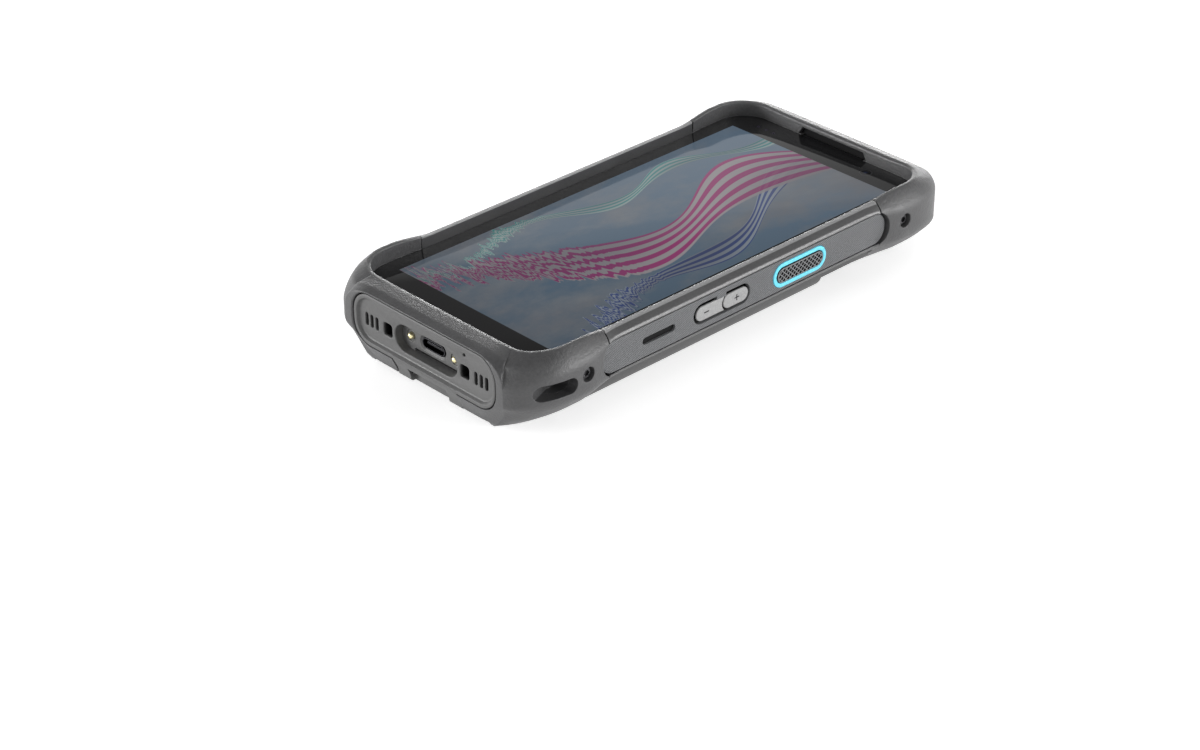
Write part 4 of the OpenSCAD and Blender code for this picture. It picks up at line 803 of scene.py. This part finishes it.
def volume_cap(up, x0, x1, grow, edge):
    """One of the two caps: a slot, and a longer slot that is cut back round it."""
    length, middle = (9.55, (SPLIT_Y - 0.15) / 2) if up else (19, -10.5)
    shape = grown(slot, length + 2 * grow, VOLUME_H + 2 * grow, middle, KEY_MID)
    me = plate(shape, x0, x1, "x", edge1=edge)
    if up:
        return me
    return carved(me, prism(circle(DIVIDE_Y, KEY_MID, VOLUME_H / 2 + 0.6 - grow), 30, BEYOND,
                            "x"), box(30, BEYOND, DIVIDE_Y, BEYOND, 0, BEYOND))


for name, centre, upright in (("up", -4.6, True), ("down", -16.2, False)):
    sign = bars(centre, KEY_MID, 0.95, 0.42, upright)
    body = f"volume {name} key"
    cap = volume_cap(upright, 37.4, KEY_FACE, 0, 0.3)
    piece(f"volume_{name}_cap", boolean(cap, prism(sign, KEY_FACE - SIGN_DEEP, BEYOND, "x")),
          f"volume_{name}_key", KEYCAP, body=body)
    piece(f"volume_{name}_rubber", volume_cap(upright, 35.9, 37.4, -0.02, 0), None, RUBBER,
          body=body)
    piece(f"volume_{name}_sign", prism(sign, KEY_FACE - SIGN_DEEP, KEY_FACE - SIGN_LOW, "x"),
          None, SWITCH, body=body)

piece("side_slot_floor", prism(slot(11.9, 2.0, SPEAKER_Y, KEY_Z), 37.1, 37.35, "x"), None,
      RUBBER)

# ---- end panels
def end_panel(shape, d):
    """Panel with a raised rim round a dished face."""
    rings = [(0, 78), (0, 82.35), (-0.1, 82.6), (-0.3, PANEL_RIM), (-0.85, PANEL_RIM),
             (-1.1, 82.62), (-1.4, 82.25), (-1.6, 81.9), (-1.9, 81.72), (-2.3, PANEL_FACE)]
    return stack([(shape(g), d * y) for g, y in rings], "y")


def tall_slot(x, z, w, h):
    return grown(rounded, x - w / 2, x + w / 2, z - h / 2, z + h / 2, w / 2 - 0.01)


def strap_cap():
    me = prism(strap_plan(0), 0.9, 7.6)
    side = [(-70, 2.3), (-73.6, 2.1), (-74.3, 1.5), (-75, 0.9), (-80, 0.9), (-80.45, 1.2),
            (-80.6, 1.6), (-80.75, 2.6), (-81.1, 3.7), (-81.8, 5), (-82.5, 6.4), (-82.7, 7.6),
            (-70, 7.6)]
    me = boolean(me, prism(side, -20, 20, "x"), "INTERSECT")
    return carved(me, box(-8, 8, -73.6, -71.6, 0, 6.2), box(-8, 8, -80.4, -71.6, 3.2, 6.2),
                  box(-7.6, 7.6, -84, POCKET_Y, 0, 5.2))


def charging_panel():
    me = boolean(end_panel(PANEL_LOW, -1), strap_cap(), "UNION")
    holes = [sink(tall_slot(x, DOCK_Z, 1.2, 3.9), -PANEL_FACE, 3.9, "y", 0.15, -1)
             for x in (19.6, 21.65, 23.7)]
    holes.append(sink(grown(rounded, 13.5, 16.9, DOCK_Z - 1.9, DOCK_Z + 1.9, 0.8), -PANEL_FACE, 3.9,
                      "y", 0.35, -1))
    return carved(me, both_sides(joined(*holes)),
                  sink(grown(slot, 24.6, 8, 0, DOCK_Z), -PANEL_FACE, 3.4, "y", 0.45, -1),
                  sink(grown(circle, 15.2, DOCK_Z + 5.1, 0.5), -PANEL_FACE, 3.9, "y", 0.15, -1),
                  prism(slot(*USB, 0, DOCK_Z), -85, -76, "y"))


def dock_floor():
    me = plate(grown(slot, 24.56, 7.96, 0, DOCK_Z), -78.3, POCKET_Y, "y", edge1=0.1)
    ring = stack([(slot(l, h, 0, DOCK_Z), y) for l, h, y in (
        (10.5, 4.72, -80), (10.5, 4.72, POCKET_Y), (9.7, 3.9, -78.75), (*USB, -78.6),
        (*USB, -77))], "y")
    pins = [prism(circle(x, DOCK_Z, 1.0), -80, -77, "y") for x in (-DOCK_PIN_X, DOCK_PIN_X)]
    wells = [sink(grown(circle, x, DOCK_Z, 1.75), POCKET_Y, 0.3, "y", 0.1, -1)
             for x in (-DOCK_PIN_X, DOCK_PIN_X)]
    return carved(me, ring, joined(*wells), joined(*pins),
                  sink(grown(rounded, -7.3, 9.3, 8, 10.6, 0.3), POCKET_Y, 2, "y", 0.12, -1))


def lathe(u, v, profile, plane="z", n=40):
    """Turned solid from (radius, height) pairs."""
    return stack([(circle(u, v, r, n), h) for r, h in profile], plane)


def scanner_panel():
    big = grown(rounded, -11.7, 13.7, 7.1, 14.7, 1.8)
    small = grown(rounded, -9.3, 12.7, 8.2, 13.6, 1.2)
    power = grown(rounded, 16.25, 24.55, 5.15, 14.05, 2.65)
    holes = [sink(grown(slot, 4.2, 1.9, x, 4.8), PANEL_RIM, 6, "y", 0.2) for x in (-12.6, 12.6)]
    return carved(
        end_panel(PANEL_TOP, 1),
        stack([(big(0.35), 84), (big(0.35), PANEL_FACE), (big(0.1), 81.5), (big(0), 81.2),
               (big(-0.5), 79.9), (small(0), 78.6), (small(0), 77)], "y"),
        sink(power, PANEL_FACE, 5, "y", 0.35), joined(*holes),
        sink(grown(circle, 15.2, 14.2, 0.45), PANEL_FACE, 5, "y", 0.15))


def power_sign(x, z):
    """Broken ring and bar, as two outlines."""
    r, w = 1.55, 0.36
    arc = [(x + rr * math.sin(math.radians(a)), z + rr * math.cos(math.radians(a)))
           for rr, turns in ((r + w / 2, range(40, 321, 14)), (r - w / 2, range(320, 39, -14)))
           for a in turns]
    return arc, [(x - w / 2, z + 0.2), (x + w / 2, z + 0.2), (x + w / 2, z + r + 0.5),
                 (x - w / 2, z + r + 0.5)]


piece("charging_panel", charging_panel(), "bottom_end_panel", PANEL)
piece("pocket_floor", dock_floor(), "dock_floor", PANEL)
piece("scanner_panel", scanner_panel(), "top_end_panel", PANEL)
POWER_FACE = 82.5
power_shape = grown(rounded, 16.7, 24.1, 5.6, 13.6, 2.2)
sunk, filled = (joined(*[prism(outline, POWER_FACE - SIGN_DEEP, top, "y")
                         for outline in power_sign(20.4, 9.4)])
                for top in (90, POWER_FACE - SIGN_LOW))
piece("power_cap", boolean(plate(power_shape, 76.4, POWER_FACE, "y", edge1=0.55), sunk),
      "power_key", KEYCAP, body="power key")
piece("power_sign", filled, None, SWITCH, body="power key")
pin_profile = [(0.01, -79.95), (0.4, -79.9), (0.7, -79.74), (0.9, -79.48), (0.96, -79.2),
               (0.96, -78.2), (0.85, -78.1), (0.85, -77.4), (1.3, -77.4), (1.3, -75.5),
               (0.85, -75.5), (0.85, -73.6), (0.01, -73.6)]
piece("charging_domes", joined(*[lathe(x, DOCK_Z, pin_profile, "y")
                                 for x in (-DOCK_PIN_X, DOCK_PIN_X)]),
      "charging_pins", PIN)
piece("pocket_slot", prism(rounded(-7.25, 9.25, 8.05, 10.55, 0.3), -78.55, -78.35, "y"),
      None, RUBBER)

# ---- battery and latch
def turned(me, rx=0.0, ry=0.0, rz=0.0):
    turn = Euler((math.radians(rx), math.radians(ry), math.radians(rz))).to_matrix()
    for v in me.vertices:
        v.co = turn @ v.co
    return me


def battery_shell():
    curve = [(27.4 + (BAT_X - 27.4) * math.sin(a), 7.5 - 5.85 * math.cos(a))
             for a in angles(0, 90, 24)]
    half = [(26.3, BAT_Z), (26.9, BAT_Z + 0.1)] + curve + [(BAT_X, 8.2)]
    me = prism(half + [(-x, z) for x, z in half[::-1]], -70, 60, "y")
    plan = [(-26.1, -61.85), (26.1, -61.85), (BAT_X, -55.4), (BAT_X, 51.6), (24.4, 46.35),
            (-24.4, 46.35), (-BAT_X, 51.6), (-BAT_X, -55.4)]
    side = [(-61.85, 20), *[(-61.25 - 0.6 * math.cos(a), 1.9 - 0.6 * math.sin(a))
                            for a in angles(0, 90, 6)],
            (44.9, BAT_Z), (45.6, BAT_Z + 0.25), (46.35, BAT_Z + 0.9), (60, BAT_Z + 0.9),
            (60, 20)]
    me = boolean(me, prism(plan, -3, 12), "INTERSECT")
    me = boolean(me, prism(side, -60, 60, "x"), "INTERSECT")
    clip, quilt = box(-25.6, 25.6, -59.8, 37.4, -9, 9), 17.8
    for i in range(-3, 3):
        for j in range(-3, 3):
            if abs(i - j) < 3 and abs(i + j + 1) < 5:
                cube = turned(box(0, quilt, 0, quilt, -2.9, 0.1), -1, 0.6)
                cube = moved(cube, i * quilt - 5.6, j * quilt - 5.6, BAT_Z)
                cube = boolean(turned(cube, rz=45), clip, "INTERSECT")
                me = boolean(me, cube)
    pocket = [(24.4, 60), (24.4, 35.2), (24.9, 34.2), (27.4, 32.3), (28.4, 31.95), (60, 31.95),
              (60, 60)]
    scoop = moved(turned(box(-9, 9, -7.6, 3, -4, 1.6), -13), 0, 46.75, 1.25)
    return carved(
        me, prism(pocket, -3, 6.4), box(31.1, 35.3, 37.95, 41.95, 0, 12),
        prism(circle(LATCH_Y, 5, 1.2), 17, 26.4, "x"), prism(circle(32.5, 33.75, 1.6), 6, 7.1),
        scoop, box(-30, 16, -54.05, 36.35, 2.5, 7.2), box(-9, 9, 36.25, 41.35, 4.3, 12))


def latch():
    me = plate(grown(rounded, 26.4, 34.2, 34.75, 45.15, 0.8), 6.3, 3.6, edge0=0.1, edge1=0.35)
    slope = prism([(31.3, 0), (36, 0), (36, 6), (34.2, 5.5), (31.3, 3.6)], 30, 50, "y")
    me = boolean(me, slope)
    mark = [(27.6, 39.95), (29.2, 38.95), (29.2, 40.95)]
    leg = box(33, 35, 38.35, 41.55, 6.2, 9.2)
    me = boolean(me, leg, "UNION")
    return carved(me, prism(mark, 3, 3.75), prism(circle(LATCH_Y, 5, 1.1), 25.4, 31.1, "x"))


def spring():
    """Compression spring as a swept round wire."""
    turns, steps, wire, r, x0, x1 = 8, 20, 0.25, 0.65, 17.05, 29.35
    rings = []
    for k in range(turns * steps + 1):
        a = 2 * math.pi * k / steps
        out = Vector((0, math.cos(a), math.sin(a)))
        centre = Vector((mix(x0 + wire, x1 - wire, k / (turns * steps)),
                         LATCH_Y + r * math.cos(a), 5 + r * math.sin(a)))
        rings.append([centre + out * wire * math.cos(b) + Vector((wire * math.sin(b), 0, 0))
                      for b in (math.pi * i / 4 for i in range(8))])
    return loft(rings)


piece("battery_case", battery_shell(), "battery_shell", BATTERY, 24, "battery")
piece("latch_slider", latch(), "battery_latch", LATCH, body="latch")
piece("latch_coil", spring(), "latch_spring", STEEL, body="battery")

# ---- back window and connector
PIN_SPOTS = [((i - 1.5) * 2.87, 58 + (j - 0.5) * 2.6) for i in range(4) for j in (0, 1)]


def camera_window():
    me = plate(grown(rounded, -24, 24, 42, 68.2, 3.9), COVER_TOP, CAMERA_Z, edge1=0.3)
    notch = [(-11.2, 46.5), (11.2, 46.5), (11.2, 49), (8.6, 52), (-8.6, 52), (-11.2, 49)]
    holes = [sink(grown(*shape), CAMERA_Z, 2, "z", edge, -1) for edge, shape in (
        (0.15, (circle, *CAMERA_AT, 3.1)), (0.12, (circle, *FLASH_AT, 2.1)),
        (0.1, (circle, *RANGE_AT, 2.0)), (0.1, (rounded, 12, 16, 50.9, 54.9, 0.9)),
        (0.15, (rounded, -8.3, 8.3, 55.1, 60.9, 0.6)))]
    return carved(me, box(-30, 30, 30, 47, 0, 9), prism(notch, -1, 8), holes.pop(),
                  joined(*holes))


def connector_block():
    me = plate(grown(rounded, -8.2, 8.2, 55.2, 60.8, 0.6), 9.5, 3.1, edge1=0.1)
    me = boolean(me, sink(grown(rounded, -7.6, 7.6, 55.5, 60.5, 0.5), 3.1, 1.0, "z", 0.12, -1))
    return boolean(me, joined(*[prism(circle(x, y, 0.98, 24), 0, 12) for x, y in PIN_SPOTS]))


def barrel(x, y, r, z0, z1, lip, sunk):
    """Round barrel with a rounded lip and a sunk middle, facing down."""
    return lathe(x, y, [(0.01, z1), (r, z1), (r, z0 + 0.15), (r - 0.05, z0 + 0.05),
                        (r - 0.15, z0), (r - lip, z0), (r - lip - 0.12, z0 + 0.12),
                        (r - lip - 0.35, z0 + sunk), (0.01, z0 + sunk)])


def bead(x, y, r, z, drop):
    """Small domed lens or emitter, bulging down."""
    return lathe(x, y, [(0.01, z + 0.6), (r, z + 0.6), (r, z), (r * 0.86, z - drop * 0.45),
                        (r * 0.6, z - drop * 0.8), (r * 0.3, z - drop * 0.96),
                        (0.01, z - drop)])


def pin_dome(x, y):
    return lathe(x, y, [(0.01, 9.3), (0.95, 9.3), (0.95, 3.95), (0.9, 3.75), (0.75, 3.55),
                        (0.5, 3.4), (0.25, 3.33), (0.01, 3.3)], n=24)


piece("camera_cover", camera_window(), "camera_window", GLOSS)
piece("connector_block", connector_block(), "pogo_block", SWITCH)
piece("connector_pins", joined(*[pin_dome(x, y) for x, y in PIN_SPOTS]), "pogo_pins",
      STEEL)
lens_base = box(15.6, 23.6, 59.9, 67.9, 10.05, 11.65)
piece("camera_barrel", joined(barrel(*CAMERA_AT, 3.0, 3.15, 10.04, 0.5, 1.1), lens_base),
      "rear_camera", LENS)
piece("camera_lens", bead(*CAMERA_AT, 1.35, 4.2, 0.35), None, LENS)
piece("flash_ring", barrel(*FLASH_AT, 2.0, 3.1, 8.1, 0.35, 0.8), "flash_led", STEEL)
piece("flash_emitter", bead(*FLASH_AT, 1.2, 3.85, 0.25), None, FLASH)
windows = [plate(grown(circle, *RANGE_AT, 1.92), 7.1, 3.1, edge1=0.12),
           plate(grown(rounded, 12.08, 15.92, 50.98, 54.82, 0.82), 7.1, 3.1, edge1=0.12)]
piece("range_windows", joined(*windows), "rear_sensors", LENS)
piece("range_emitter", plate(grown(rounded, 13.5, 14.5, 52.4, 53.4, 0.2), 3.3, 3.07, edge1=0.03),
      None, AMBER)

# ---- screws
def star(u, v, r):
    """Six-lobed socket."""
    return [(u + r * (1 + 0.14 * math.cos(6 * a)) * math.cos(a),
             v + r * (1 + 0.14 * math.cos(6 * a)) * math.sin(a))
            for a in (2 * math.pi * i / 72 for i in range(72))]


def side_screw(y):
    head = plate(grown(circle, y, KEY_Z, 1.5), 38.4, 39.35, "x", edge1=0.25)
    head = boolean(head, prism(star(y, KEY_Z, 0.85), 38.75, 50, "x"))
    return joined(head, prism(circle(y, KEY_Z, 0.9, 24), 33.4, 38.4, "x"))


def rear_screw(x, y):
    head = plate(grown(circle, x, y, 1.8), SCREW_SEAT, 6.4, edge1=0.3)
    head = boolean(head, prism(star(x, y, 0.95), 0, 7.0))
    return joined(head, prism(circle(x, y, 0.9, 24), SCREW_SEAT, 12.6))


piece("bumper_screws", both_sides(joined(side_screw(SCREW_Y), side_screw(-SCREW_Y))),
      "side_screws", SCREW)
piece("back_screws", both_sides(joined(*[rear_screw(*spot) for spot in REAR_HOLES])),
      "rear_screws", SCREW)

# ---- screen
piece("screen_glass", plate(lambda g: glass_outline(g - 0.12), GLASS_LOW, GLASS_Z, edge1=0.2),
      "cover_glass", SCREEN)
grille = plate(grown(rounded, -11.4, 11.4, 75.12, 76.28, 0.3), 18.1, 19.3, edge1=0.1)
dots = [prism(circle(-10.8 + 0.72 * i, 75.42 + 0.56 * j, 0.17, 8), 19.1, 20)
        for i in range(31) for j in (0, 1)]
liner = [(-13.6, 18.6), (-13.6, GLASS_Z - 0.7), (-11.7, GLASS_Z + 2.3), (11.7, GLASS_Z + 2.3),
         (13.6, GLASS_Z - 0.7), (13.6, 18.6)]
piece("earpiece_liner", prism(liner, 76.2, 76.58, "y"), None, RUBBER)
piece("earpiece_grille", boolean(grille, joined(*dots)), "earpiece_mesh", SWITCH)

# ---- carried-over nodes
for node, material in {
        "rear_housing": RAIL, "display_panel": GLOSS, "front_camera": LENS, "light_sensor": LENS,
        "side_switches": SWITCH, "power_switch": SWITCH, "battery_cells": CELL,
        "battery_contacts": GOLD, "battery_terminals": TERMINAL, "usb_socket": PORT,
        "scan_window": SCANNER, "scan_engine": SWITCH, "main_board": BOARD,
        "loudspeaker": SWITCH, "vibration_motor": STEEL, "battery_seal": SEAL}.items():
    for material_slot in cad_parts[node].material_slots:
        material_slot.material = material

# ---- camera, light and floor
bpy.context.scene.view_settings.view_transform = "Standard"
azimuth, elevation = math.radians(46.13), math.radians(30.55)
back = Vector((math.sin(azimuth) * math.cos(elevation), -math.cos(azimuth) * math.cos(elevation),
               math.sin(elevation)))
camera_data = bpy.data.cameras.new("camera")
camera_data.sensor_width = 36
camera_data.lens = 84.66
camera = put(bpy.data.objects.new("camera", camera_data))
camera.location = (0.4885, -0.4885, 0.3807)
camera.rotation_mode = "QUATERNION"
camera.rotation_quaternion = (-back).to_track_quat("-Z", "Y")
bpy.context.scene.camera = camera


def lamp(name, place_at, width, height, watts):
    """Soft lamp that faces the middle of the part."""
    data = bpy.data.lights.new(name, "AREA")
    data.shape = "RECTANGLE"
    data.size, data.size_y, data.energy = width, height, watts
    obj = put(bpy.data.objects.new(name, data))
    obj.location = place_at
    obj.rotation_mode = "QUATERNION"
    obj.rotation_quaternion = (Vector((0, 0, 0.01)) - obj.location).to_track_quat("-Z", "Y")


lamp("light_end", (-0.9, -1.1, 0.25), 0.7, 0.35, 15)
lamp("light_side", (1.2, 0.7, 0.24), 0.7, 0.35, 11)
lamp("light_rim", (-0.85, 1.05, 0.17), 1.4, 0.12, 8)
lamp("light_top", (-0.15, 0.62, 1.1), 1.1, 0.16, 2.5)

# white round the horizon, dimmer overhead
world = bpy.data.worlds.new("studio")
bpy.context.scene.world = world
world.use_nodes = True
wt = world.node_tree
sky_sep = wt.nodes.new("ShaderNodeSeparateXYZ")
wt.links.new(wt.nodes.new("ShaderNodeTexCoord").outputs["Generated"], sky_sep.inputs[0])
level = wt.nodes.new("ShaderNodeMapRange")
wt.links.new(sky_sep.outputs[2], level.inputs["Value"])
for socket, value in (("From Min", 0.25), ("From Max", 0.75), ("To Min", 1.0), ("To Max", 0.15)):
    level.inputs[socket].default_value = value
background = wt.nodes["Background"]
background.inputs["Color"].default_value = (1, 1, 1, 1)
wt.links.new(level.outputs[0], background.inputs["Strength"])

floor_mesh = bpy.data.meshes.new("floor")
floor_mesh.from_pydata([(-6, -6, 0), (6, -6, 0), (6, 6, 0), (-6, 6, 0)], [], [(0, 1, 2, 3)])
floor = put(bpy.data.objects.new("floor", floor_mesh))
floor.location.z = -0.0002
fm = Nodes("floor_pale")
fm.surface("Base Color", fm.blend(fm.ramp(fm.noise(40, 2), 0.3, 0.7), [0.88, 0.88, 0.88, 1],
                                  [0.9, 0.9, 0.9, 1]))
fm.surface("Roughness", 0.9)
fm.surface("Specular IOR Level", 0.1)
path = fm.add("LightPath")
lit = fm.math("MAXIMUM", fm.math("MAXIMUM", path.outputs["Is Camera Ray"],
                                 path.outputs["Is Glossy Ray"]),
              path.outputs["Is Transmission Ray"])
fm.surface("Emission Color", (1, 1, 1, 1))
fm.surface("Emission Strength", fm.math("MULTIPLY", lit, 0.62))
floor_mesh.materials.append(fm.material)
